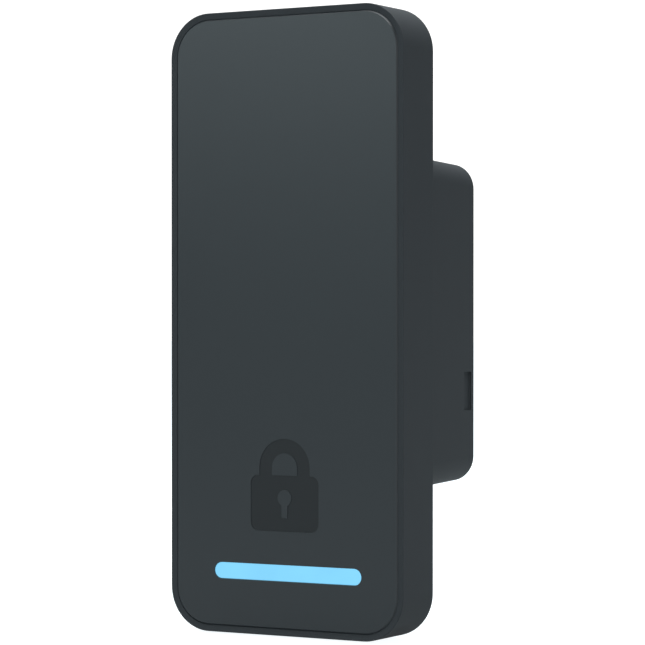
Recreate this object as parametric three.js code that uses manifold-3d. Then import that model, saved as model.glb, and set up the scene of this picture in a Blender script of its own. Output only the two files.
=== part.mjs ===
// Wall-mounted RFID card reader, in millimetres.
// X runs to the right as a person in front of the reader sees it, Y runs into the wall, Z runs up.
// The origin is the middle of the wall plane: the slab stands in front of it and the rear box goes
// through it into the wall box. The slab's outline is symmetrical about X = 0 and Z = 0.

import * as THREE from 'three';
import { mergeVertices } from 'three/addons/utils/BufferGeometryUtils.js';
import Module from 'manifold-3d';

const wasm = await Module();
wasm.setup();

// ---------------------------------------------------------------- driving dimensions

// The slab: the part that stands in front of the wall.
const BODY_W = 50;
const BODY_H = 116.2;
const BODY_D = 11.6;
const BODY_R = 8.26;
const FRONT_Y = -BODY_D;

// The rear box: the drafted part behind the slab.
const BOX_W = 46.48;
const BOX_H = 62.26;
const BOX_D = 21.5;
const BOX_R = 4.86;
const DRAFT = 0.036;             // inset of each side wall per millimetre of depth, about 2 degrees
const BOX_WALL = 1.8;

// Rim, panel and the stack behind it.
const RIM = 1.25;                // width of the frame's front rim
const PANEL_GAP = 0.25;
const PANEL_T = 1.8;
const PANEL_BEVEL = 0.3;
const TAPE_T = 0.2;
const LEDGE_T = 1.2;
const LEDGE_INSET = 4.2;
const PANEL_BACK = FRONT_Y + PANEL_T;
const LEDGE_FRONT = PANEL_BACK + TAPE_T;
const LEDGE_BACK = LEDGE_FRONT + LEDGE_T;
const WALL_T = 2.6;              // frame wall between the ledge and the gasket seat
const REAR_WALL_T = 1.6;         // frame wall around the flange

// Flange that closes the slab from behind.
const FLANGE_T = 2;
const FLANGE_GAP = 0.15;
const GASKET_T = 0.25;
const FLANGE_INSET = REAR_WALL_T + FLANGE_GAP;

// Light bar, low on the front.
const BAR_X = 0.5;
const BAR_Z = -46.45;
const BAR_L = 31.5;
const BAR_H = 2.95;
const LED_COUNT = 5;
const LED_PITCH = 6.1;

// Lock symbol recessed in the panel, above the light bar.
const SYMBOL_Z = -30.1;
const SYMBOL_DEPTH = 0.25;

// Side pockets of the rear box, where the wall bracket's spring tabs catch.
const POCKET_H = 7.35;
const POCKET_L = 3.15;
const POCKET_DEPTH = 0.5;
const POCKET_Y = BOX_D - 2.85;
const POCKET_Z = -13.05;

// Circuit boards.
const BOARD_T = 1.2;
const MAIN_FRONT = -6.4;
const MAIN_BACK = MAIN_FRONT + BOARD_T;
const POWER_FRONT = 2;
const POWER_BACK = 3.6;

// Network jack, opening to the rear.
const JACK_W = 15.9;
const JACK_H = 13.2;
const JACK_Z = -13;
const JACK_BACK = 21.1;

// Screws.
const CORNER_X = 19;
const CORNER_Z = 51.5;
const POST_X = 17.6;
const POST_Z = 25.4;
const CARRIER_POST_X = 18.6;
const CARRIER_POST_Z = 34;

// Security screw, up through the bottom wall into the space behind the tab slot.
const SECURITY_Y = -5.3;
const TAB_SLOT_W = 6.4;
const TAB_SLOT_H = 4.2;
const TAB_SLOT_Z = -51.9;

// Tamper plunger, on the wall plane above the rear box.
const TAMPER_Z = 44.5;
const TAMPER_OUT = 1.5;          // how far it stands out of the wall plane when nothing presses it
const SPRING_TURNS = 4;
const SPRING_WIRE = 0.35;
const SPRING_R = 1.5;

// Reset button, in the rear face beside the jack.
const RESET_X = 14.6;
const RESET_Z = -13;

const CLEAR = 0.05;              // running gap between pieces that are stacked or nested
const CUT = 0.5;                 // how far a cutting tool passes the face it cuts
const ROUND = 20;                // sides of a large round
const SMALL_ROUND = 10;          // sides of a screw or a pin

// ---------------------------------------------------------------- materials

const finish = (color, roughness, metalness = 0) => ({ color, roughness, metalness });
const SHELL = finish(0x373c3f, 0.55);
const PANEL = finish(0x3e4549, 0.35);
const INNER = finish(0x24272a, 0.7);
const BOARD = finish(0x17402c, 0.6);
const CHIP = finish(0x151617, 0.5);
const STEEL = finish(0x9a9c9e, 0.35, 1);
const BRASS = finish(0xb08d4a, 0.4, 1);
const COPPER = finish(0xb87342, 0.4, 1);
const RUBBER = finish(0x1c1d1e, 0.9);
const GLOW = finish(0x89dbff, 0.4);
const CLEAR_PLASTIC = finish(0xdfe8ec, 0.2);
const WHITE = finish(0xe9e9e6, 0.6);
const FERRITE = finish(0x2b2a2c, 0.8);

const reader = new THREE.Group();

function add(name, geometry, { color, roughness, metalness }) {
  const material = new THREE.MeshStandardMaterial({ color, roughness, metalness });
  const mesh = new THREE.Mesh(geometry, material);
  mesh.name = name;
  reader.add(mesh);
  return mesh;
}

// ---------------------------------------------------------------- booleans

// A closed geometry as a solid that can be joined and cut.
function solid(geometry) {
  const bare = geometry.clone();
  for (const key of Object.keys(bare.attributes)) {
    if (key !== 'position') bare.deleteAttribute(key);
  }
  const merged = mergeVertices(bare, 1e-4);
  return new wasm.Manifold(new wasm.Mesh({
    numProp: 3,
    vertProperties: Float32Array.from(merged.attributes.position.array),
    triVerts: Uint32Array.from(merged.index.array),
  }));
}

function geometryOf(body) {
  const mesh = body.getMesh();
  const geometry = new THREE.BufferGeometry();
  geometry.setAttribute('position', new THREE.BufferAttribute(mesh.vertProperties, 3));
  geometry.setIndex(new THREE.BufferAttribute(mesh.triVerts, 1));
  return geometry;
}

function join(...geometries) {
  return geometryOf(geometries.map(solid).reduce((whole, part) => whole.add(part)));
}

function cut(geometry, ...tools) {
  return geometryOf(tools.map(solid).reduce((whole, tool) => whole.subtract(tool), solid(geometry)));
}

// ---------------------------------------------------------------- outlines and basic shapes

// A rounded rectangle seen from the front, about (x, z).
function roundedRect(width, height, radius, x = 0, z = 0, kind = THREE.Shape) {
  const [right, top] = [width / 2, height / 2];
  const shape = new kind();
  shape.moveTo(x + right, z - top + radius);
  shape.absarc(x + right - radius, z + top - radius, radius, 0, Math.PI / 2);
  shape.absarc(x - right + radius, z + top - radius, radius, Math.PI / 2, Math.PI);
  shape.absarc(x - right + radius, z - top + radius, radius, Math.PI, Math.PI * 1.5);
  shape.absarc(x + right - radius, z - top + radius, radius, Math.PI * 1.5, Math.PI * 2);
  return shape;
}

// The slab's outline, moved in by inset.
function bodyOutline(inset, kind = THREE.Shape) {
  return roundedRect(BODY_W - 2 * inset, BODY_H - 2 * inset, BODY_R - inset, 0, 0, kind);
}

// A flat shape given depth along Y, from front to back.
function plate(shape, front, back, segments = 4) {
  const geometry = new THREE.ExtrudeGeometry(shape, {
    depth: back - front, bevelEnabled: false, curveSegments: segments,
  });
  return geometry.rotateX(Math.PI / 2).translate(0, back, 0);
}

// The same with a small bevel around its front edge only.
function beveledPlate(shape, front, back, bevel, segments = 6) {
  const geometry = new THREE.ExtrudeGeometry(shape, {
    depth: back - front - bevel, bevelEnabled: true, bevelSegments: 1, curveSegments: segments,
    bevelThickness: bevel, bevelSize: bevel, bevelOffset: -bevel,
  });
  geometry.rotateX(Math.PI / 2).translate(0, back, 0);
  return geometryOf(solid(geometry).trimByPlane([0, -1, 0], -back));
}

function ring(outer, inner, front, back, segments = 4) {
  outer.holes.push(inner);
  return plate(outer, front, back, segments);
}

// A block between two Y planes, about (x, z).
function block(width, height, front, back, x = 0, z = 0, radius = 0) {
  if (radius > 0) return plate(roundedRect(width, height, radius, x, z), front, back, 2);
  return new THREE.BoxGeometry(width, back - front, height).translate(x, (front + back) / 2, z);
}

// A round bar along Y, about (x, z).
function rod(radius, front, back, x = 0, z = 0, sides = SMALL_ROUND) {
  return new THREE.CylinderGeometry(radius, radius, back - front, sides)
    .translate(x, (front + back) / 2, z);
}

// A shape turned about the Y axis at (x, z), from [radius, y] points.
function turned(points, x, z, sides = SMALL_ROUND) {
  const profile = points.map(([radius, y]) => new THREE.Vector2(radius, y));
  return new THREE.LatheGeometry(profile, sides).translate(x, 0, z);
}

// A pan-head screw that points to the front (-Y), with a cross recess in its head.
function screw(x, z, headBack, headR, headT, shaftR, tip) {
  const seat = headBack - headT;
  const body = turned([
    [0, tip], [shaftR * 0.6, tip], [shaftR, tip + shaftR * 0.6], [shaftR, seat],
    [headR, seat], [headR, headBack - headT * 0.35], [headR * 0.75, headBack], [0, headBack],
  ], x, z);
  const slot = headR * 1.15;
  const width = headR * 0.28;
  const floor = headBack - headT * 0.55;
  return cut(body, block(slot, width, floor, headBack + CUT, x, z),
    block(width, slot, floor, headBack + CUT, x, z));
}

const corners = [[1, 1], [-1, 1], [-1, -1], [1, -1]];

// ---------------------------------------------------------------- front frame

const cavityBack = -FLANGE_T - GASKET_T;
const BOSS_R = 3;
const INSERT_R = 1.6;

function frontFrame() {
  const outer = beveledPlate(bodyOutline(0), FRONT_Y, 0, 0.25);
  const panelRecess = plate(bodyOutline(RIM), FRONT_Y - CUT, LEDGE_FRONT, 6);
  const ledgeOpening = plate(bodyOutline(LEDGE_INSET), FRONT_Y, 0);
  const cavity = plate(bodyOutline(WALL_T), LEDGE_BACK, cavityBack);
  const rearRecess = plate(bodyOutline(REAR_WALL_T), cavityBack, CUT);
  const hollow = cut(outer, panelRecess, ledgeOpening, cavity, rearRecess);
  const bosses = corners.map(([i, k]) => rod(
    BOSS_R, LEDGE_BACK - 0.4, cavityBack, i * CORNER_X, k * CORNER_Z, ROUND));
  const holes = corners.map(([i, k]) => rod(
    INSERT_R + CLEAR, LEDGE_BACK + 1, 0, i * CORNER_X, k * CORNER_Z, ROUND));
  // Clearance hole and head recess of the security screw, in the bottom wall.
  const upright = (radius, height) => new THREE.CylinderGeometry(radius, radius, height, SMALL_ROUND)
    .rotateX(Math.PI / 2).translate(0, SECURITY_Y, -BODY_H / 2);
  return cut(join(hollow, ...bosses), ...holes, upright(1.7, 8), upright(2.8, 2.8));
}

// ---------------------------------------------------------------- front panel, tape and light bar

// Closed body, keyhole and shackle of a plain padlock, as cutting tools for the panel.
function lockSymbol(front, back) {
  const body = plate(roundedRect(14.6, 10.4, 1.6, 0, SYMBOL_Z - 3.4), front, back, 4);
  const keyhole = join(rod(1.5, front, back, 0, SYMBOL_Z - 2.4),
    block(1.3, 3.4, front, back, 0, SYMBOL_Z - 4.4));
  const shackle = new THREE.Shape();
  const [outerR, innerR, hip, foot] = [5.4, 2.7, SYMBOL_Z + 3.2, SYMBOL_Z + 1.5];
  shackle.moveTo(outerR, foot);
  shackle.absarc(0, hip, outerR, 0, Math.PI);
  shackle.lineTo(-outerR, foot);
  shackle.lineTo(-innerR, foot);
  shackle.absarc(0, hip, innerR, Math.PI, 0, true);
  shackle.lineTo(innerR, foot);
  return [cut(body, keyhole), plate(shackle, front, back, 6)];
}

function frontPanel() {
  const sheet = beveledPlate(bodyOutline(RIM + PANEL_GAP), FRONT_Y, PANEL_BACK, PANEL_BEVEL);
  const slot = plate(pill(BAR_L + 2 * CLEAR, BAR_H + 2 * CLEAR), FRONT_Y - CUT, PANEL_BACK + CUT);
  return cut(sheet, slot, ...lockSymbol(FRONT_Y - CUT, FRONT_Y + SYMBOL_DEPTH));
}

function pill(length, height) {
  return roundedRect(length, height, height / 2, BAR_X, BAR_Z);
}

const LENS_FLANGE = 1.1;
const GUIDE_FRONT = PANEL_BACK + 0.6;

add('front_frame', frontFrame(), SHELL);
add('front_panel', frontPanel(), PANEL);
add('panel_tape', ring(bodyOutline(RIM + 0.6), bodyOutline(LEDGE_INSET - 0.2, THREE.Path),
  PANEL_BACK, LEDGE_FRONT), RUBBER);
add('light_bar_lens', join(
  plate(pill(BAR_L, BAR_H), FRONT_Y, GUIDE_FRONT),
  plate(pill(BAR_L + 2 * LENS_FLANGE, BAR_H + 2 * LENS_FLANGE), PANEL_BACK + CLEAR, GUIDE_FRONT),
), GLOW);
add('light_guide', plate(pill(BAR_L - 0.4, BAR_H + 0.4), GUIDE_FRONT + CLEAR, MAIN_FRONT - 0.95),
  CLEAR_PLASTIC);
add('light_shroud', ring(pill(BAR_L + 4, BAR_H + 4), pill(BAR_L + 0.8, BAR_H + 0.8),
  GUIDE_FRONT + CLEAR, MAIN_FRONT - CLEAR), WHITE);
for (let i = 0; i < LED_COUNT; i++) {
  const x = BAR_X + (i - (LED_COUNT - 1) / 2) * LED_PITCH;
  add(`led_${i + 1}`, block(2, 2, MAIN_FRONT - 0.8, MAIN_FRONT, x, BAR_Z, 0.3), WHITE);
}

// ---------------------------------------------------------------- antenna stack and carrier

const ANTENNA_W = 40.4;
const ANTENNA_TOP = 47;
const ANTENNA_BOTTOM = -40;
const ANTENNA_Z = (ANTENNA_TOP + ANTENNA_BOTTOM) / 2;
const ANTENNA_H = ANTENNA_TOP - ANTENNA_BOTTOM;
const ANTENNA_FRONT = PANEL_BACK + 0.2;
const ANTENNA_BACK = ANTENNA_FRONT + 0.8;
const COIL_TURNS = 4;
const COIL_PITCH = 1.5;
const COIL_TRACE = 0.8;

// One flat copper track that winds inwards around the board, a rounded square spiral.
function antennaCoil() {
  const middle = [];
  const [startX, startZ] = [ANTENNA_W / 2 - 1.2, ANTENNA_H / 2 - 1.2];
  const radius = 2.4;
  const steps = 3;
  for (let turn = 0; turn < COIL_TURNS; turn++) {
    corners.forEach(([i, k], side) => {
      const inset = (turn + side / 4) * COIL_PITCH;
      const [cx, cz] = [i * (startX - inset - radius), k * (startZ - inset - radius)];
      for (let s = 0; s <= steps; s++) {
        const angle = side * Math.PI / 2 + s / steps * Math.PI / 2;
        middle.push([cx + radius * Math.cos(angle), ANTENNA_Z + cz + radius * Math.sin(angle)]);
      }
    });
  }
  const side = (sign) => middle.map(([x, z], n) => {
    const [ax, az] = middle[Math.max(n - 1, 0)];
    const [bx, bz] = middle[Math.min(n + 1, middle.length - 1)];
    const length = Math.hypot(bx - ax, bz - az);
    const reach = sign * COIL_TRACE / 2 / length;
    return new THREE.Vector2(x + (bz - az) * reach, z - (bx - ax) * reach);
  });
  return plate(new THREE.Shape([...side(1), ...side(-1).reverse()]),
    ANTENNA_FRONT - 0.12, ANTENNA_FRONT - 0.02);
}

// Tools that cut a board's corners away around the frame's screw bosses.
function bossReliefs(front, back) {
  const outwards = 6;
  return corners.map(([i, k]) => join(
    rod(BOSS_R + 0.35, front - CUT, back + CUT, i * CORNER_X, k * CORNER_Z),
    block(2 * outwards, 2 * outwards, front - CUT, back + CUT,
      i * (CORNER_X + outwards), k * (CORNER_Z + outwards))));
}

const carrierFront = LEDGE_BACK + CLEAR;
const carrierBack = carrierFront + 0.85;

function carrier() {
  const sheet = plate(bodyOutline(WALL_T + 0.3), carrierFront, carrierBack);
  const window = block(24, 44, carrierFront - CUT, carrierBack + CUT, 0, 8, 3);
  const slot = plate(pill(BAR_L + 4.6, BAR_H + 4.6), carrierFront - CUT, carrierBack + CUT);
  const posts = corners.map(([i, k]) => rod(
    2.2, carrierFront + 0.2, MAIN_FRONT - CLEAR, i * CARRIER_POST_X, k * CARRIER_POST_Z));
  const pilots = corners.map(([i, k]) => rod(
    0.95, carrierFront - CUT, 0, i * CARRIER_POST_X, k * CARRIER_POST_Z));
  // The carrier ends above the lower bosses, so the light bar's slot is open at the bottom.
  const foot = block(BODY_W, 12, carrierFront - CUT, carrierBack + CUT, 0, -BODY_H / 2 + 4.2);
  return cut(join(sheet, ...posts), window, slot, foot, ...bossReliefs(carrierFront, carrierBack), ...pilots);
}

add('antenna_board', block(ANTENNA_W, ANTENNA_H, ANTENNA_FRONT, ANTENNA_BACK, 0, ANTENNA_Z, 2), BOARD);
add('antenna_coil', antennaCoil(), COPPER);
add('ferrite_sheet', block(ANTENNA_W - 2, ANTENNA_H - 2, ANTENNA_BACK + CLEAR, ANTENNA_BACK + 0.35,
  0, ANTENNA_Z, 1.5), FERRITE);
add('board_carrier', carrier(), INNER);

// ---------------------------------------------------------------- main board and what it carries

function mainBoard() {
  const sheet = plate(bodyOutline(WALL_T + 0.4), MAIN_FRONT, MAIN_BACK);
  const screwHoles = corners.map(([i, k]) => rod(
    1.1, MAIN_FRONT - CUT, MAIN_BACK + CUT, i * CARRIER_POST_X, k * CARRIER_POST_Z));
  const securityNotch = block(7, 9, MAIN_FRONT - CUT, MAIN_BACK + CUT, 0, -BODY_H / 2 + 4.5);
  return cut(sheet, ...bossReliefs(MAIN_FRONT, MAIN_BACK), ...screwHoles, securityNotch);
}

// A piece soldered on the rear side of the main board.
function onMain(name, width, height, thickness, x, z, look, radius = 0) {
  add(name, block(width, height, MAIN_BACK, MAIN_BACK + thickness, x, z, radius), look);
}

// A pressed steel can: a thin box, open towards the board.
function shieldCan(width, height, depth, x, z) {
  const wall = 0.25;
  return cut(block(width, height, MAIN_BACK, MAIN_BACK + depth, x, z, 0.8),
    block(width - 2 * wall, height - 2 * wall, MAIN_BACK - CUT, MAIN_BACK + depth - wall, x, z, 0.5));
}

add('main_board', mainBoard(), BOARD);
add('radio_shield', shieldCan(16, 13, 2.4, -9, 21), STEEL);
add('radio_chip', block(6, 6, MAIN_BACK, MAIN_BACK + 0.9, -9, 21), CHIP);
onMain('processor_chip', 9, 9, 1, 9.5, 20, CHIP);
onMain('reader_chip', 5.4, 5.4, 0.9, 9.5, 7.5, CHIP);
onMain('memory_chip', 6, 5, 1, -9.5, 6.5, CHIP);
onMain('crystal', 3.2, 2.5, 0.8, 1.4, 13.5, STEEL, 0.4);
add('buzzer', cut(rod(4.6, MAIN_BACK, -2.7, 0, -41, ROUND), rod(0.9, -3.4, -2, 0, -41)), CHIP);
for (const [n, x] of [[1, -4.5], [2, 4.5]]) {
  // Sprung blades that join the antenna board to the main board through the carrier's window.
  add(`antenna_contact_${n}`, block(1.6, 5, ANTENNA_BACK + 0.4 + CLEAR, MAIN_FRONT, x, 24, 0.4), BRASS);
}
for (const [n, [i, k]] of corners.entries()) {
  add(`board_screw_${n + 1}`, screw(i * CARRIER_POST_X, k * CARRIER_POST_Z, -4.1, 1.8, 1.05, 0.85,
    LEDGE_BACK + 0.3), STEEL);
}

// ---------------------------------------------------------------- power board in the rear box

// How far the box's walls have moved in at a depth of y.
const draftAt = (y) => DRAFT * y;

// Two screws hold the power board, on opposite corners; the other two posts only carry it.
const powerScrewCorners = [corners[0], corners[2]];

function powerBoard() {
  const width = BOX_W - 2 * (BOX_WALL + draftAt(POWER_BACK) + 0.4);
  const height = BOX_H - 2 * (BOX_WALL + draftAt(POWER_BACK) + 0.4);
  const sheet = block(width, height, POWER_FRONT, POWER_BACK, 0, 0, 3);
  const screwHoles = powerScrewCorners.map(([i, k]) => rod(
    1.1, POWER_FRONT - CUT, POWER_BACK + CUT, i * POST_X, k * POST_Z));
  return cut(sheet, ...screwHoles);
}

// A can capacitor on the power board, with the pressed cross of its vent.
function capacitor(x, z, length) {
  const top = POWER_BACK + length;
  const can = turned([[0, POWER_BACK], [3.15, POWER_BACK], [3.15, POWER_BACK + 1.1], [2.9, POWER_BACK + 1.4],
    [3.15, POWER_BACK + 1.7], [3.15, top - 0.3], [2.85, top], [0, top]], x, z);
  return cut(can, block(3.6, 0.3, top - 0.15, top + CUT, x, z), block(0.3, 3.6, top - 0.15, top + CUT, x, z));
}

function transformer(x, z) {
  const core = block(13, 14, POWER_BACK + 1, POWER_BACK + 9.5, x, z);
  const bobbin = block(15.4, 9, POWER_BACK, POWER_BACK + 7.6, x, z);
  return join(core, bobbin);
}

add('power_board', powerBoard(), BOARD);
add('transformer', transformer(-9.6, 12.5), CHIP);
add('capacitor_1', capacitor(13.6, 18.6, 10.5), INNER);
add('capacitor_2', capacitor(6.4, 18.6, 10.5), INNER);
add('inductor', block(7, 7, POWER_BACK, POWER_BACK + 4.2, 10, 8.4, 1.2), CHIP);
add('rectifier', block(6.2, 5, POWER_BACK, POWER_BACK + 2.5, -13.6, -4.4), CHIP);
add('board_socket', cut(block(17, 4.6, MAIN_BACK, -0.4, 0, -5),
  block(14.2, 1.6, -4.6, 0, 0, -5)), CHIP);
add('board_header', join(block(17, 4.6, -0.3, POWER_FRONT, 0, -5),
  block(13.6, 1, -3.9, 0, 0, -5)), INNER);
for (const [n, [i, k]] of powerScrewCorners.entries()) {
  add(`power_board_screw_${n + 1}`, mirroredScrew(i * POST_X, k * POST_Z), STEEL);
}

// A screw whose head is on the front side and whose point goes towards the rear (+Y).
function mirroredScrew(x, z) {
  const head = POWER_FRONT - CLEAR - 1.05;
  const forward = screw(0, 0, -head, 1.8, 1.05, 0.85, -(POWER_BACK + 5));
  return forward.rotateX(Math.PI).translate(x, 0, z);
}

// ---------------------------------------------------------------- network jack

const JACK_FRONT = POWER_BACK;
const PLUG_W = 11.9;
const PLUG_H = 7;
const PLUG_Z = JACK_Z + 0.9;
const PLUG_FRONT = 7.6;          // floor of the socket
const LATCH_W = 6.4;
const LATCH_H = 2.6;
const CONTACTS = 8;
const CONTACT_PITCH = 1.02;

// The socket's hollow: the plug's body and, below it, the space for the plug's latch.
function plugSpace(grow, front, back) {
  return join(
    block(PLUG_W + grow, PLUG_H + grow, front, back, 0, PLUG_Z),
    block(LATCH_W + grow, LATCH_H + grow, front, back, 0, PLUG_Z - PLUG_H / 2 - LATCH_H / 2 + 0.4),
  );
}

function jackShell() {
  const wall = 0.3;
  const hollow = block(JACK_W - 2 * wall, JACK_H - 2 * wall, JACK_FRONT - CUT, JACK_BACK - wall, 0, JACK_Z);
  return cut(block(JACK_W, JACK_H, JACK_FRONT, JACK_BACK, 0, JACK_Z), hollow,
    plugSpace(0.2, PLUG_FRONT, JACK_BACK + CUT));
}

function jackInsert() {
  const wall = 0.3 + CLEAR;
  const core = block(JACK_W - 2 * wall, JACK_H - 2 * wall, JACK_FRONT, JACK_BACK - wall, 0, JACK_Z);
  const combSpace = block(9.4, 1.5, PLUG_FRONT, JACK_BACK - 2.4, 0, PLUG_Z + PLUG_H / 2 + 0.7);
  return cut(core, plugSpace(0, PLUG_FRONT, JACK_BACK + CUT), combSpace);
}

// Eight sprung wires that stand out of the socket's upper wall, held by one moulded bar.
function contactComb() {
  const top = PLUG_Z + PLUG_H / 2;
  const bar = block(9, 1, PLUG_FRONT + 0.1, PLUG_FRONT + 2.4, 0, top + 0.8);
  const wires = [];
  for (let i = 0; i < CONTACTS; i++) {
    const x = (i - (CONTACTS - 1) / 2) * CONTACT_PITCH;
    const wire = block(0.45, 0.4, PLUG_FRONT + 2, PLUG_FRONT + 10, 0, 0)
      .translate(0, -PLUG_FRONT - 2, 0).rotateX(-0.16).translate(x, PLUG_FRONT + 2, top + 0.75);
    wires.push(wire);
  }
  return join(bar, ...wires);
}

add('jack_shell', jackShell(), STEEL);
add('jack_insert', jackInsert(), CHIP);
add('jack_contacts', contactComb(), BRASS);

// ---------------------------------------------------------------- rear housing

const LABEL = { width: 34, height: 20, z: 17, depth: 0.3 };
const boxBack = BOX_D;

// The drafted box: a rounded block whose side walls lean in towards the rear.
function draftedBox(inset, front, back) {
  const shape = roundedRect(BOX_W - 2 * inset, BOX_H - 2 * inset, BOX_R - Math.min(inset, 2.6));
  const geometry = plate(shape, front, back);
  const position = geometry.attributes.position;
  for (let n = 0; n < position.count; n++) {
    const lean = draftAt(Math.max(position.getY(n), 0));
    position.setX(n, position.getX(n) - Math.sign(position.getX(n)) * lean);
    position.setZ(n, position.getZ(n) - Math.sign(position.getZ(n)) * lean);
  }
  return geometry;
}

const innerBack = BOX_D - BOX_WALL;
const TAMPER_R = 2.5;
const TAMPER_COLLAR_R = 3.4;
const RESET_R = 1.9;

function rearHousing() {
  const flange = plate(bodyOutline(FLANGE_INSET), -FLANGE_T, 0);
  const hull = join(flange, draftedBox(0, -0.6, BOX_D));
  const inside = draftedBox(BOX_WALL, -FLANGE_T - CUT, innerBack);
  const sidePads = [1, -1].map((i) => block(2.4, POCKET_H + 3, POCKET_Y - 3.1, innerBack + 0.5,
    i * (BOX_W / 2 - draftAt(POCKET_Y) - 2.2), POCKET_Z));
  const posts = corners.map(([i, k]) => rod(2.3, POWER_BACK + CLEAR, innerBack + 0.5,
    i * POST_X, k * POST_Z));
  const pilots = powerScrewCorners.map(([i, k]) => rod(0.95, POWER_BACK - CUT, POWER_BACK + 6,
    i * POST_X, k * POST_Z));
  const pockets = [1, -1].map((i) => block(2 * POCKET_DEPTH, POCKET_H, POCKET_Y - POCKET_L / 2,
    POCKET_Y + POCKET_L / 2, i * (BOX_W / 2 - draftAt(POCKET_Y)), POCKET_Z));
  const screwSeats = corners.flatMap(([i, k]) => [
    rod(2.65, -1.35, CUT, i * CORNER_X, k * CORNER_Z),
    rod(1.45, -FLANGE_T - CUT, CUT, i * CORNER_X, k * CORNER_Z),
  ]);
  const jackWindow = block(JACK_W + 0.5, JACK_H + 0.5, 10, boxBack + CUT, 0, JACK_Z, 0.4);
  const resetHole = rod(RESET_R + 0.15, 10, boxBack + CUT, RESET_X, RESET_Z, ROUND);
  const tamperHole = rod(TAMPER_R + 0.15, -FLANGE_T - CUT, CUT, 0, TAMPER_Z, ROUND);
  const soundHoles = [-1.6, 0, 1.6].map((x) => rod(0.5, -FLANGE_T - CUT, CUT, x, -41, 12));
  const labelSeat = block(LABEL.width, LABEL.height, boxBack - LABEL.depth, boxBack + CUT,
    0, LABEL.z, 1);
  const tabSlot = block(TAB_SLOT_W, TAB_SLOT_H, -FLANGE_T - CUT, CUT, 0, TAB_SLOT_Z, 0.5);
  return cut(join(cut(hull, inside), ...sidePads, ...posts), ...pilots, ...pockets, ...screwSeats,
    jackWindow, resetHole, tamperHole, ...soundHoles, labelSeat, tabSlot);
}

add('rear_housing', rearHousing(), SHELL);
add('housing_gasket', ring(bodyOutline(FLANGE_INSET + 0.1), bodyOutline(WALL_T + 0.25, THREE.Path),
  cavityBack + 0.02, -FLANGE_T - 0.02), RUBBER);
add('vent_membrane', rod(2.9, -FLANGE_T - 0.35, -FLANGE_T - 0.05, 0, -41, ROUND), WHITE);
add('rating_label', block(LABEL.width - 0.6, LABEL.height - 0.6, boxBack - LABEL.depth + 0.02,
  boxBack - 0.1, 0, LABEL.z, 0.8), INNER);

// ---------------------------------------------------------------- corner screws and their inserts

function insert(x, z) {
  const [front, back] = [LEDGE_BACK + 1.4, cavityBack - 0.3];
  const middle = (front + back) / 2;
  const body = turned([[1.28, front], [INSERT_R - 0.02, front], [INSERT_R - 0.02, middle - 0.4],
    [INSERT_R - 0.25, middle], [INSERT_R - 0.02, middle + 0.4], [INSERT_R - 0.02, back],
    [1.28, back], [1.28, front]], x, z);
  return body;
}

for (const [n, [i, k]] of corners.entries()) {
  const [x, z] = [i * CORNER_X, k * CORNER_Z];
  add(`thread_insert_${n + 1}`, insert(x, z), BRASS);
  add(`housing_screw_${n + 1}`, screw(x, z, -0.1, 2.4, 1.2, 1.2, LEDGE_BACK + 1.5), STEEL);
}

// The security screw goes up through the bottom wall into the space for the bracket's tab.
add('security_screw', screw(0, 0, 0, 2.6, 1.2, 1.45, -7.4)
  .rotateX(-Math.PI / 2).translate(0, SECURITY_Y, -BODY_H / 2 + 0.15), STEEL);

// ---------------------------------------------------------------- tamper plunger, spring and switch

const SWITCH_TOP = -4.1;

class SpringPath extends THREE.Curve {
  getPoint(t, target = new THREE.Vector3()) {
    const angle = t * SPRING_TURNS * 2 * Math.PI;
    const [start, end] = [MAIN_BACK + SPRING_WIRE / 2 + CLEAR, -1.2 - SPRING_WIRE / 2 - CLEAR];
    return target.set(SPRING_R * Math.cos(angle), start + (end - start) * t,
      TAMPER_Z + SPRING_R * Math.sin(angle));
  }
}

function springWire() {
  const section = new THREE.Shape();
  const sides = 5;
  for (let n = 0; n < sides; n++) {
    const angle = n / sides * 2 * Math.PI;
    const [x, y] = [SPRING_WIRE / 2 * Math.cos(angle), SPRING_WIRE / 2 * Math.sin(angle)];
    if (n === 0) section.moveTo(x, y);
    else section.lineTo(x, y);
  }
  return new THREE.ExtrudeGeometry(section, { steps: 10 * SPRING_TURNS, extrudePath: new SpringPath() });
}

// A cup that opens to the front, with a middle pin for the switch and a collar that stops it
// against the flange.
function tamperPlunger() {
  const [collarFront, collarBack, floor] = [-2.9, -FLANGE_T - CLEAR, -1.2];
  return turned([
    [0, floor - 1.3], [0.7, floor - 1.3], [0.7, floor], [2.0, floor], [2.0, collarFront], [TAMPER_COLLAR_R, collarFront],
    [TAMPER_COLLAR_R, collarBack], [TAMPER_R, collarBack], [TAMPER_R, TAMPER_OUT - 0.6],
    [TAMPER_R - 0.6, TAMPER_OUT], [0, TAMPER_OUT],
  ], 0, TAMPER_Z, ROUND);
}

add('tamper_plunger', tamperPlunger(), INNER);
add('tamper_spring', springWire(), STEEL);
add('tamper_switch', join(block(1.6, 1.6, MAIN_BACK, MAIN_BACK + 0.8, 0, TAMPER_Z),
  rod(0.5, MAIN_BACK + 0.5, SWITCH_TOP, 0, TAMPER_Z, 12)), CHIP);

// ---------------------------------------------------------------- reset button and switch

add('reset_switch', join(block(6, 6, POWER_BACK, POWER_BACK + 3.5, RESET_X, RESET_Z, 0.4),
  rod(1.6, POWER_BACK + 3, POWER_BACK + 4.2, RESET_X, RESET_Z)), CHIP);
add('reset_button', turned([
  [0, POWER_BACK + 4.65], [RESET_R - 0.3, POWER_BACK + 4.65], [RESET_R - 0.3, 15],
  [RESET_R, 15.6], [RESET_R, boxBack - 0.5], [RESET_R - 0.3, boxBack - 0.2], [0, boxBack - 0.2],
], RESET_X, RESET_Z, ROUND), INNER);

export default reader;
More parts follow.
